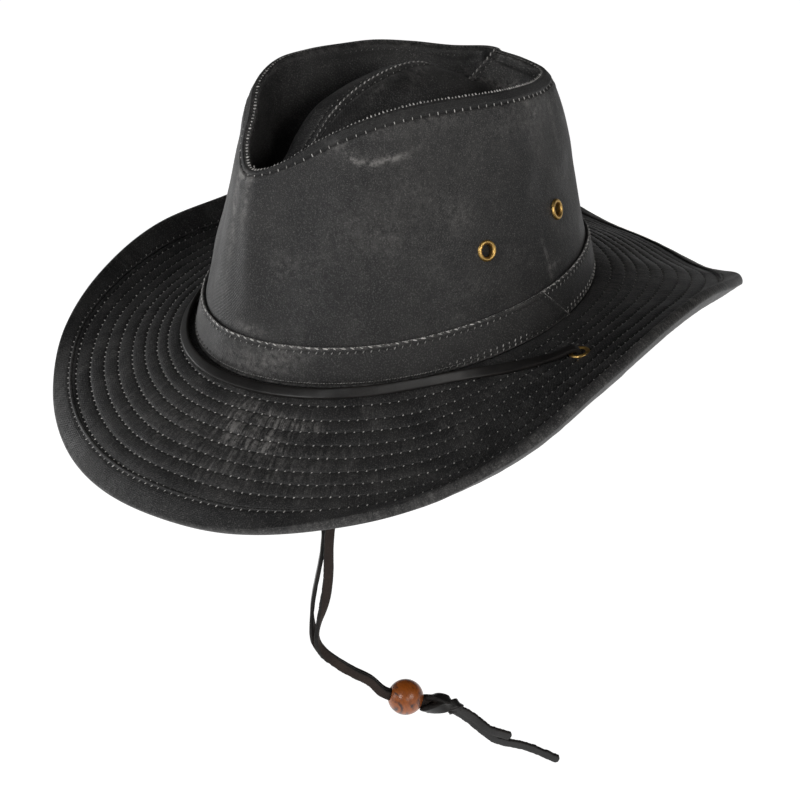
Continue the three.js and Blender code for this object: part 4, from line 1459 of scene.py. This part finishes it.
def through(points, per_span=24):
    """A centripetal curve through points of any number of columns, and how far along each is."""
    points = np.asarray(points, float)
    padded = np.concatenate([[2 * points[0] - points[1]], points, [2 * points[-1] - points[-2]]])
    found = []
    s = np.linspace(0, 1, per_span, endpoint=False)[:, None]
    for p0, p1, p2, p3 in zip(padded, padded[1:], padded[2:], padded[3:]):
        pairs = ((p0, p1), (p1, p2), (p2, p3))
        d0, d1, d2 = (max(np.linalg.norm(b[:3] - a[:3]) ** 0.5, 1e-4) for a, b in pairs)
        t1 = ((p1 - p0) / d0 - (p2 - p0) / (d0 + d1) + (p2 - p1) / d1) * d1
        t2 = ((p2 - p1) / d1 - (p3 - p1) / (d1 + d2) + (p3 - p2) / d2) * d1
        found.append(p1 + t1 * s + (3 * (p2 - p1) - 2 * t1 - t2) * s**2 + (2 * (p1 - p2) + t1 + t2) * s**3)
    return np.concatenate([*found, points[-1:]])


def even(points, count):
    """The same line with its points evenly apart."""
    at = arc_lengths(points[:, :3])
    want = np.linspace(0, at[-1], count)
    return np.stack([np.interp(want, at, points[:, k]) for k in range(points.shape[1])], -1)


def strap_section(width, thickness):
    """A flat strip's section as places across and through it, and the material of each side."""
    w, t = width / 2, thickness / 2
    c = min(w, t) * 0.45
    face = np.linspace(-1, 1, 7)
    smooth_side = [((w - c) * -f, t * (1 + 0.06 * (1 - f * f))) for f in face]
    left = [(-w + c * 0.25, t - c * 0.4), (-w, 0.0), (-w + c * 0.25, -t + c * 0.4)]
    flesh_side = [((w - c) * f, -t * (1 - 0.04 * (1 - f * f))) for f in face]
    right = [(w - c * 0.25, -t + c * 0.4), (w, 0.0), (w - c * 0.25, t - c * 0.4)]
    picks = [0] * 6 + [2] * 4 + [1] * 6 + [2] * 4
    return np.array(smooth_side + left + flesh_side + right), picks


def strap_piece(name, route, hat, steps, ragged, seed, width=None, thickness=None, taper=0.0):
    """A leather strip along a route of places and the directions of its width, with ragged edges."""
    places, widths = route
    line = even(through(np.concatenate([places, widths], 1)), steps)
    centre, wide = line[:, :3], line[:, 3:]
    along = unit(np.gradient(centre, axis=0))
    wide = unit(wide - along * np.sum(wide * along, -1, keepdims=True))
    thick = np.cross(along, wide)
    section, picks = strap_section(width or hat.lace_width, thickness or hat.lace_thickness)
    spread = np.repeat(section[None], steps, 0)
    at = arc_lengths(centre)
    coarse = np.stack([at, 0 * at, 0 * at + seed], -1)
    for sign, amount in ((1, ragged[0]), (-1, ragged[1])):
        nibble = amount * (ripple(coarse, 2.2, seed + sign) + 0.6 * ripple(coarse, 0.9, seed + 2 * sign))
        side = np.clip(sign * section[:, 0] / section[:, 0].max(), 0, 1) ** 3
        spread[:, :, 0] += sign * nibble[:, None] * side[None]
    lumps = 0.1 * ripple(coarse, 5, seed + 9)
    spread[:, :, 1] *= (1 + lumps)[:, None]
    if taper:
        spread[:, :, 0] *= (1 - 0.5 * bump(at - at[-1], taper))[:, None]
    points = centre[:, None] + spread[..., :1] * wide[:, None] + spread[..., 1:] * thick[:, None]
    piece = grid_piece(
        name,
        points,
        [finish("smooth"), finish("flesh"), finish("cut")],
        closed=False,
        picks=picks,
        caps=True,
    )
    return piece, centre


def flat_widths(points, way):
    """The direction of a strip's width at each point, with its flat side facing a way."""
    ahead = np.concatenate([points[1:], points[-1:]]) - np.concatenate([points[:1], points[:-1]])
    return unit(np.cross(ahead, way))


def cord_way():
    """The way that the cord runs between the bead and the knot."""
    return unit(KNOT_PLACE - BEAD_PLACE)


class OBJECT_OT_hat_chin_lace(HatOperator, bpy.types.Operator):
    """Hang the chin lace from its eyelets, through the bead and the knot"""

    bl_idname = "object.hat_chin_lace"
    bl_label = "Chin lace"

    def make(self, hat):
        bead = self.add_bead(hat)
        knot = self.add_knot(hat)
        long_tail, long_line = self.add_tail(hat, "tail_long_lace", LONG_TAIL, "tail_long", 3)
        short_tail, _ = self.add_tail(hat, "tail_short_lace", SHORT_TAIL, "tail_short", 8)
        rows = (
            ("left", 1, LEFT_STRAND, (0.35, 0.05), [bead, knot, short_tail]),
            ("right", -1, RIGHT_STRAND, (0.08, 0.08), []),
        )
        for eye, (name, side, strand, ragged, others) in zip(hat.brim_eyelets(), rows):
            route = self.strand(hat, eye, strand, side)
            piece, line = strap_piece(f"chin_lace_{name}", route, hat, 380, ragged, 5 + side)
            wear_on(piece, "leather", f"lace_{name}")
            self.declare(hat, piece, line, "knot", others)
        self.declare(hat, long_tail, long_line, "bare", [])

    def declare(self, hat, piece, line, far_end, others):
        """Measures the length of a strip's line, and keeps nothing of it."""
        path = even(line, 120) * MM
        length = float(arc_lengths(path)[-1])
        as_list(others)

    def strand(self, hat, eye, rows, side):
        """The places and widths of a hanging strand."""
        _, place, axis, sheet = eye
        below = hat.flange_top(sheet) + hat.lace_thickness / 2 + hat.gap
        under = np.array([place - axis * (below + d) for d in (0, hat.lace_thickness)])
        points = np.stack([rows["x"], rows["y"], rows["z"]], -1)
        turn = rows["turn"][:, None]
        hanging = unit(flat_widths(points, FACING) * (1 - turn) + FACING * turn)
        reach = np.linalg.norm(KNOT_PLACE - BEAD_PLACE) - hat.knot_length / 2 + 1.5
        last = np.array([-hat.bead_diameter / 2 - hat.lace_thickness, 0, reach])[:, None] * cord_way()
        last = BEAD_PLACE + last + FACING * side * (hat.lace_thickness + hat.gap) / 2
        across = unit(np.cross(cord_way(), FACING))
        places = np.concatenate([under, points, last])
        widths = np.concatenate([[(0, 1, 0)] * 2, hanging, [across] * 3])
        return places, widths

    def add_tail(self, hat, name, points, solid, seed):
        """A free end beyond the knot, tapered a little where it was cut."""
        widths = -flat_widths(points, FACING)
        start = points[0] - cord_way() * 3
        places = np.concatenate([[start], points])
        widths = np.concatenate([widths[:1], widths])
        route = (places, widths)
        piece, line = strap_piece(name, route, hat, 150, (0.45, 0.3), seed, width=4.6, taper=0.6)
        wear_on(piece, "leather", solid)
        return piece, line

    def add_bead(self, hat):
        """A turned bead, a little rounded at its bore."""
        radius, bore = hat.bead_diameter / 2, hat.bead_bore / 2
        start = math.asin(bore / radius)
        turn = np.linspace(start, math.pi - start, 40)
        ball = np.stack([radius * np.sin(turn), -radius * np.cos(turn)], -1)
        lip = 0.35
        tunnel = np.array([(bore - lip, up) for up in (ball[-1, 1] - 0.7, 0, ball[0, 1] + 0.7)])
        points = turned_points(np.concatenate([ball, tunnel]), BEAD_PLACE, cord_way(), 72)
        return wear_on(grid_piece("bead_wood", points, [finish("wood")]), "bead_wood", "bead")

    def add_knot(self, hat):
        """An overhand knot in both strands, drawn as one thick strip."""
        across = unit(np.cross(cord_way(), FACING))
        if across[2] < 0:
            across = -across
        near = unit(np.cross(across, cord_way()))
        if near @ FACING < 0:
            near = -near
        size = np.array([hat.knot_length, hat.knot_width, hat.knot_depth]) / KNOT_DRAWN
        steps = size * np.stack([KNOT_TURNS["along"], KNOT_TURNS["up"], KNOT_TURNS["near"]], -1)
        axes = np.stack([cord_way(), across, near])
        places = KNOT_PLACE + steps @ axes
        outward = (steps * (0, 1, 1)) @ axes
        ahead = np.gradient(places, axis=0)
        widths = unit(np.cross(unit(outward), ahead))
        route = (places, widths)
        piece, _ = strap_piece("chin_knot_lace", route, hat, 300, (0.1, 0.1), 14, width=5.6, thickness=3.0)
        return wear_on(piece, "leather", "chin_knot")


class OBJECT_OT_hat_band_lace(HatOperator, bpy.types.Operator):
    """Lay the lace round the front of the band, from eyelet to eyelet"""

    bl_idname = "object.hat_band_lace"
    bl_label = "Lace on the band"

    def make(self, hat):
        eyes = list(hat.brim_eyelets())
        left, left_wide = self.half(hat, eyes[0], 1)
        right, right_wide = self.half(hat, eyes[1], -1)
        middle, middle_wide = self.lying(hat, 0.0, 0.0, 0.5)
        places = np.concatenate([left, [middle], right[::-1]])
        widths = np.concatenate([left_wide, [middle_wide], right_wide[::-1]])
        piece, _ = strap_piece("lace_on_band", (places, widths), hat, 560, (0.1, 0.06), 21)
        wear_on(piece, "leather", "lace_front")

    def lying(self, hat, angle, out, lean):
        """A place of the lace on the brim beside the band."""
        tilt = math.radians(hat.lace_tilt_angle * lean)
        w, t = hat.lace_width / 2, hat.lace_thickness / 2
        reach = hat.band_seat + hat.cloth + w * math.cos(tilt) + t * math.sin(tilt) + out
        height = hat.brim_thickness / 2 + hat.lace_seat + w * math.sin(tilt) + t * math.cos(tilt)
        share = hat.brim_share(angle, reach)
        way = unit(hat.brim_face(angle, share + NUDGE) - hat.brim_face(angle, share))
        wide = way * math.cos(tilt) - hat.brim_normal(angle, share) * math.sin(tilt)
        return hat.brim_at(angle, share, height), wide

    def half(self, hat, eye, side):
        """The lace from a brim eyelet to the front."""
        _, place, axis, sheet = eye
        rows = zip(*LACE_LIES.values())
        lying = [self.lying(hat, a if side > 0 else 360 - a, out, lean) for a, out, lean in rows]
        inward = lying[0][0] - place
        inward = unit(inward - axis * (inward @ axis))
        wide = np.cross(inward, axis)
        wide = wide * np.sign(wide @ lying[0][1])
        t = hat.lace_thickness
        top = hat.flange_top(sheet)
        rises = zip(*LACE_OVER_FLANGE.values())
        over = [place + inward * away * t + axis * (top + above * t) for away, above in rises]
        start = [place - axis * (top + t / 2), place]
        places = np.array(start + over + [p for p, _ in lying])
        widths = np.array([wide] * (len(start) + len(over)) + [w for _, w in lying])
        return places, widths


def stitch_tree():
    """Geometry Nodes that lay slanted stitches along a line, each with its own worn tone."""
    tree = bpy.data.node_groups.new("Stitches", "GeometryNodeTree")
    face = tree.interface
    face.new_socket("Geometry", in_out="INPUT", socket_type="NodeSocketGeometry")
    for name in ("Pitch", "Length", "Width", "Height", "Slant", "Sway", "Shrink"):
        face.new_socket(name, in_out="INPUT", socket_type="NodeSocketFloat")
    face.new_socket("Seed", in_out="INPUT", socket_type="NodeSocketInt")
    face.new_socket("Material", in_out="INPUT", socket_type="NodeSocketMaterial")
    face.new_socket("Geometry", in_out="OUTPUT", socket_type="NodeSocketGeometry")
    given = node(tree, "NodeGroupInput").outputs
    curve = node(tree, "GeometryNodeMeshToCurve", {"Mesh": given["Geometry"]}).outputs["Curve"]
    spacing = {"Curve": curve, "Length": given["Pitch"]}
    spaced = node(tree, "GeometryNodeResampleCurve", spacing, mode="LENGTH").outputs["Curve"]
    tangent = node(tree, "GeometryNodeInputTangent").outputs[0]

    def stored(name, kind):
        found = node(tree, "GeometryNodeInputNamedAttribute", {"Name": name}, data_type=kind)
        return pick(found.outputs, "Attribute")

    def aligned(axis, pivot, **inputs):
        kind = "FunctionNodeAlignRotationToVector"
        return node(tree, kind, inputs, axis=axis, pivot_axis=pivot).outputs[0]

    def chance(**inputs):
        found = node(tree, "FunctionNodeRandomValue", inputs, data_type="FLOAT")
        return pick(found.outputs, "Value")

    along = aligned("Z", "AUTO", Vector=stored("up", "FLOAT_VECTOR"))
    facing = aligned("X", "Z", Rotation=along, Vector=tangent)
    sway = chance(Min=0.0, Max=given["Sway"], Seed=given["Seed"])
    slant = arithmetic(tree, "ADD", given["Slant"], sway)
    euler = node(tree, "ShaderNodeCombineXYZ", {"Z": slant}).outputs[0]
    turn = node(tree, "FunctionNodeEulerToRotation", {0: euler}).outputs[0]
    turns = {0: facing, 1: turn}
    turned = node(tree, "FunctionNodeRotateRotation", turns, rotation_space="LOCAL").outputs[0]
    smallest = arithmetic(tree, "SUBTRACT", 1.0, given["Shrink"])
    each = node(tree, "GeometryNodeInputID").outputs[0]
    shrink = chance(Min=smallest, Max=1.1, Seed=given["Seed"], ID=each)
    sizes = {"X": given["Length"], "Y": given["Width"], "Z": given["Height"]}
    size = node(tree, "ShaderNodeCombineXYZ", sizes).outputs[0]
    scale = node(tree, "ShaderNodeVectorMath", {0: size, "Scale": shrink}, operation="SCALE").outputs[0]
    ball = node(tree, "GeometryNodeMeshUVSphere", {"Segments": 6, "Rings": 4, "Radius": 0.5}).outputs["Mesh"]
    yarn = node(tree, "GeometryNodeSetShadeSmooth", {"Geometry": ball}).outputs[0]
    laid = {"Points": spaced, "Instance": yarn, "Rotation": turned, "Scale": scale}
    placed = node(tree, "GeometryNodeInstanceOnPoints", laid).outputs[0]
    tone = arithmetic(tree, "MULTIPLY", stored("worn", "FLOAT"), chance(Min=0.5, Max=1.0, Seed=91))
    toned = node(
        tree,
        "GeometryNodeStoreNamedAttribute",
        {"Geometry": placed, "Name": "tone", "Value": tone},
        data_type="FLOAT",
        domain="INSTANCE",
    ).outputs[0]
    real = node(tree, "GeometryNodeRealizeInstances", {"Geometry": toned}).outputs[0]
    dressed = {"Geometry": real, "Material": given["Material"]}
    coloured = node(tree, "GeometryNodeSetMaterial", dressed).outputs[0]
    node(tree, "NodeGroupOutput", {"Geometry": coloured})
    return tree


def as_plain_mesh(piece):
    """Turns what a piece's modifiers make into its own mesh, and removes them."""
    seen = piece.evaluated_get(bpy.context.evaluated_depsgraph_get())
    mesh = bpy.data.meshes.new_from_object(seen)
    piece.modifiers.clear()
    piece.data = mesh
    return piece


def stitch_piece(name, rows, pitch, length, width, height, slant, sway=0.3, shrink=0.25, seed=1):
    """Stitches along rows. A row is its points, their up directions, how pale its thread is and if it is
    closed.
    """
    points, ups, worns, edges, start = [], [], [], [], 0
    for line, up, worn, closed in rows:
        count = len(line)
        points.append(line)
        ups.append(up)
        worns.append(np.broadcast_to(worn, count))
        edges += [(start + k, start + k + 1) for k in range(count - 1)]
        if closed:
            edges.append((start + count - 1, start))
        start += count
    mesh = bpy.data.meshes.new(name)
    mesh.from_pydata((np.concatenate(points) * MM).tolist(), edges, [])
    up_layer = mesh.attributes.new("up", "FLOAT_VECTOR", "POINT")
    up_layer.data.foreach_set("vector", np.concatenate(ups).ravel())
    worn_layer = mesh.attributes.new("worn", "FLOAT", "POINT")
    worn_layer.data.foreach_set("value", np.concatenate(worns))
    piece = link(bpy.data.objects.new(name, mesh))
    modifier = piece.modifiers.new("Stitches", "NODES")
    modifier.node_group = bpy.data.node_groups.get("Stitches") or stitch_tree()
    face = modifier.node_group.interface.items_tree
    sockets = {s.name: s.identifier for s in face if s.in_out == "INPUT"}
    values = {
        "Pitch": pitch * MM,
        "Length": length * MM,
        "Width": width * MM,
        "Height": height * MM,
        "Slant": math.radians(slant),
        "Sway": sway,
        "Shrink": shrink,
        "Seed": seed,
        "Material": finish("thread"),
    }
    for label, value in values.items():
        modifier[sockets[label]] = value
    return wear_on(as_plain_mesh(piece), "waxed_cloth")


def fading(angle, most, least, towards, sharp=1.0):
    """How pale a row is round the hat: palest on the side that an angle names."""
    facing = np.cos(np.radians(np.ravel(angle) - towards))
    return least + (most - least) * step_up(facing, -sharp, sharp)


def crown_row(hat, angle, share, offset, worn, closed=True):
    """A row of stitches that lies on the crown's side."""
    return hat.crown_at(angle, share, offset)[:, 0], hat.crown_normal(angle, share)[:, 0], worn, closed


def both_halves(line, up, worn):
    """A row of stitches on the left half of the top, and its mirror on the right."""
    return [(line * (side, 1, 1), up * (side, 1, 1), worn, False) for side in (1, -1)]


class OBJECT_OT_hat_crown_stitches(HatOperator, bpy.types.Operator):
    """Stitch the crown's rim, the seam of its top and the band"""

    bl_idname = "object.hat_crown_stitches"
    bl_label = "Crown and band stitches"

    def make(self, hat):
        self.rim(hat)
        self.top(hat)
        self.band(hat)

    def rim(self, hat):
        """The rope of stitches over the rim, and the rows below it outside and inside."""
        angle = stations(720)
        rope = hat.crown_at(angle, 1.0, -hat.cloth * 0.9)[:, 0] + (0, 0, 0.35)
        way = unit(hat.crown_normal(angle, 1.0)[:, 0] * 0.6 + (0, 0, 1))
        worn = fading(angle, 1.3, 0.15, 45, 0.6)
        stitch_piece(
            "rim_rope", [(rope, way, worn, True)], 1.9, 2.3, 0.75, 0.75, 56, sway=0.5, shrink=0.4, seed=3
        )
        share = 1 - hat.welt * hat.welt_share(angle) / hat.crown_top(angle)
        ticks = [crown_row(hat, angle, share, 0.1, fading(angle, 0.9, 0.45, 60))]
        half = stations(361, 1.5, 178.5, closed=False)
        rim = hat.tip_face(half, 1.0)[:, 0]
        length = np.linalg.norm(rim - hat.tip_face(half, 0.9)[:, 0], axis=-1)[:, None] / 0.1
        wide_enough = length[:, 0] > 12
        half, out = half[wide_enough], 1 - 3 / length[wide_enough]
        inner = hat.tip_face(half, out)[:, 0]
        up = upward(normal_of(hat.tip_face, half, out)[:, 0])
        inner = inner + up * 0.1
        stitch_piece("rim_ticks", ticks, 4.5, 1.9, 0.5, 0.5, 80, seed=4)
        inner_rows = both_halves(inner, up, fading(half, 0.42, 0.2, 160))
        stitch_piece("rim_inner_ticks", inner_rows, 3.2, 1.1, 0.4, 0.4, 40, seed=5)

    def top(self, hat):
        """The raised seam over the dented top, and a row on each side of it."""
        angle = stations(360, 2, 178, closed=False)
        seam = hat.tip_face(angle, 0.0)[:, 0] + (0, 0, 1.0)
        up = upward(unit(np.cross(np.gradient(seam, axis=0), (1, 0, 0))))
        rows = [(seam, up, fading(angle, 0.95, 0.5, 40), False)]
        stitch_piece("top_seam_rope", rows, 2.6, 2.6, 0.75, 0.6, 20, seed=6)
        wide = np.linalg.norm(hat.tip_face(angle, 0.1) - hat.tip_face(angle, 0.0), axis=-1) / 0.1
        wide_enough = wide[:, 0] > 10
        angle, out = angle[wide_enough], 3.3 / wide[wide_enough]
        line = hat.tip_face(angle, out)[:, 0]
        way = upward(normal_of(hat.tip_face, angle, np.clip(out, NUDGE, 1))[:, 0])
        line = line + way * 0.45
        rows = both_halves(line, way, fading(angle, 0.7, 0.45, 0))
        stitch_piece("top_seam_stitches", rows, 3.6, 1.3, 0.45, 0.45, 35, seed=7)

    def band(self, hat):
        """The band's edges, its rows and its slanted joint."""
        angle = stations(720)
        lift = hat.band_seat + hat.cloth * 0.75

        def row(height, offset, worn):
            return crown_row(hat, angle, hat.crown_share(angle, height), offset, worn)

        rope = [row(hat.band_height - 0.4, lift + 0.15, fading(angle, 1.15, 0.7, 50))]
        stitch_piece("band_rope", rope, 4.1, 2.7, 0.75, 0.7, -38, sway=0.5, shrink=0.35, seed=8)
        low = hat.brim_thickness / 2 + hat.gap
        by_joint = step_up(np.cos(np.radians(angle.ravel() - hat.band_joint_angle)), 0.72, 0.9)
        fray = [
            row(hat.band_height - 0.1, lift - 0.1, fading(angle, 0.95, 0.5, 45)),
            row(low + 1.9, lift + 0.2, 0.5 - 0.45 * by_joint),
        ]
        stitch_piece("band_fray", fray, 1.3, 1.5, 0.42, 0.4, -12, sway=0.6, shrink=0.4, seed=13)
        dots = [
            row(hat.band_height - 2.3, lift + 0.35, fading(angle, 0.6, 0.45, -10)),
            row(low + 1.3, lift + 0.3, 0.05 + 0.75 * by_joint),
            row(low + 3.2, lift + 0.5, 0.05 + 0.75 * by_joint),
        ]
        stitch_piece("band_stitches", dots, 3.6, 1.6, 0.55, 0.5, 45, seed=9)
        height = np.linspace(low, hat.band_height, 40)[:, None]
        slant = OBJECT_OT_hat_band.joint_slant
        lean = hat.band_joint_angle + (hat.band_height / 2 - height) * slant
        beside = lean - 1.0
        rows = [crown_row(hat, beside, hat.crown_share(beside, height), lift + 0.65, 0.6, False)]
        stitch_piece("band_joint_stitches", rows, 3.4, 1.2, 0.45, 0.4, 20, seed=10)
        rows = [crown_row(hat, lean, hat.crown_share(lean, height), lift + 0.6, 0.85, False)]
        stitch_piece("band_joint_edge", rows, 1.2, 1.3, 0.32, 0.3, 4, seed=11)


class OBJECT_OT_hat_brim_stitches(HatOperator, bpy.types.Operator):
    """Stitch the rows of the quilting, the binding and the brim's side seams"""

    bl_idname = "object.hat_brim_stitches"
    bl_label = "Brim stitches"

    def make(self, hat):
        angle = stations(900)
        for name, way in (("above", 1), ("below", -1)):
            rows = [self.quilted_row(hat, angle, row, way) for row in QUILT_ROWS]
            stitch_piece(
                f"quilting_{name}", rows, hat.stitch_pitch, 1.3, 0.6, 0.55, 38 * way, sway=0.5, seed=12
            )
        width = hat.brim_width(angle)
        leaf = 1 - (hat.binding_width - 1.6) / width
        lift = hat.brim_thickness / 2 + hat.gap + hat.binding_cloth - 0.25
        rows = [self.row(hat, angle, leaf, way, lift, 0.8) for way in (1, -1)]
        stitch_piece("binding_stitches", rows, hat.stitch_pitch, 1.7, 0.5, 0.5, 48, seed=14)
        seams = []
        for side in (1, -1):
            share = np.linspace(0.03, 0.85, 160)[:, None]
            turn = (hat.side_seam_angle + 5 * (share - 0.4)) * side
            line, up, worn, _ = self.row(hat, turn, share, 1, hat.brim_thickness / 2 + 0.25, 0.5)
            seams.append((line, up, worn, False))
        stitch_piece("side_seam_stitches", seams, 2.6, 1.2, 0.4, 0.4, 15, seed=15)

    def quilted_row(self, hat, angle, row, way):
        """A row of the quilting, lying in its groove."""
        at = row + 0 * angle
        relief, _ = quilt_relief(hat, angle, at, way)
        share = bent(angle, at)
        line = hat.brim_at(angle, share, way * (hat.brim_thickness / 2 + relief + 0.22))[:, 0]
        up = hat.brim_normal(angle, share)[:, 0] * way
        return line, up, fading(angle, 0.95, 0.3, 12, 0.5), True

    def row(self, hat, angle, share, way, lift, most):
        """A row on the brim's upper (1) or lower (-1) side."""
        line = hat.brim_at(angle, share, np.full_like(share, lift * way))[:, 0]
        up = hat.brim_normal(angle, share)[:, 0] * way
        return line, up, fading(angle, most, 0.35 * most, 12, 0.5), True


OPERATORS = (
    OBJECT_OT_hat_stage,
    OBJECT_OT_hat_chin_lace,
    OBJECT_OT_hat_band_lace,
    OBJECT_OT_hat_crown,
    OBJECT_OT_hat_tips,
    OBJECT_OT_hat_band,
    OBJECT_OT_hat_brim,
    OBJECT_OT_hat_binding,
    OBJECT_OT_hat_eyelets,
    OBJECT_OT_hat_crown_stitches,
    OBJECT_OT_hat_brim_stitches,
)


class VIEW3D_PT_bush_hat(bpy.types.Panel):
    """The hat's sizes, colours and pieces"""

    bl_label = "Bush hat"
    bl_idname = "VIEW3D_PT_bush_hat"
    bl_space_type = "VIEW_3D"
    bl_region_type = "UI"
    bl_category = "Bush hat"

    def draw(self, context):
        layout = self.layout
        for group in (context.scene.hat_sizes, context.scene.hat_angles, context.scene.hat_colours):
            box = layout.box()
            for name in type(group).__annotations__:
                box.prop(group, name)
        for operator in OPERATORS:
            layout.operator(operator.bl_idname)


GROUPS = (("hat_sizes", HatSizes), ("hat_angles", HatAngles), ("hat_colours", HatColours))


def register():
    for name, group in GROUPS:
        bpy.utils.register_class(group)
        setattr(bpy.types.Scene, name, bpy.props.PointerProperty(type=group))
    for operator in OPERATORS:
        bpy.utils.register_class(operator)
    bpy.utils.register_class(VIEW3D_PT_bush_hat)


def unregister():
    bpy.utils.unregister_class(VIEW3D_PT_bush_hat)
    for operator in reversed(OPERATORS):
        bpy.utils.unregister_class(operator)
    for name, group in reversed(GROUPS):
        delattr(bpy.types.Scene, name)
        bpy.utils.unregister_class(group)


def main():
    register()
    for operator in OPERATORS:
        group, name = operator.bl_idname.split(".")
        getattr(getattr(bpy.ops, group), name)()
    boxes = {"cad": CAD_BOX, "visual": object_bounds()}
    {name: [list(corner) for corner in box] for name, box in boxes.items()}


if __name__ == "__main__":
    main()
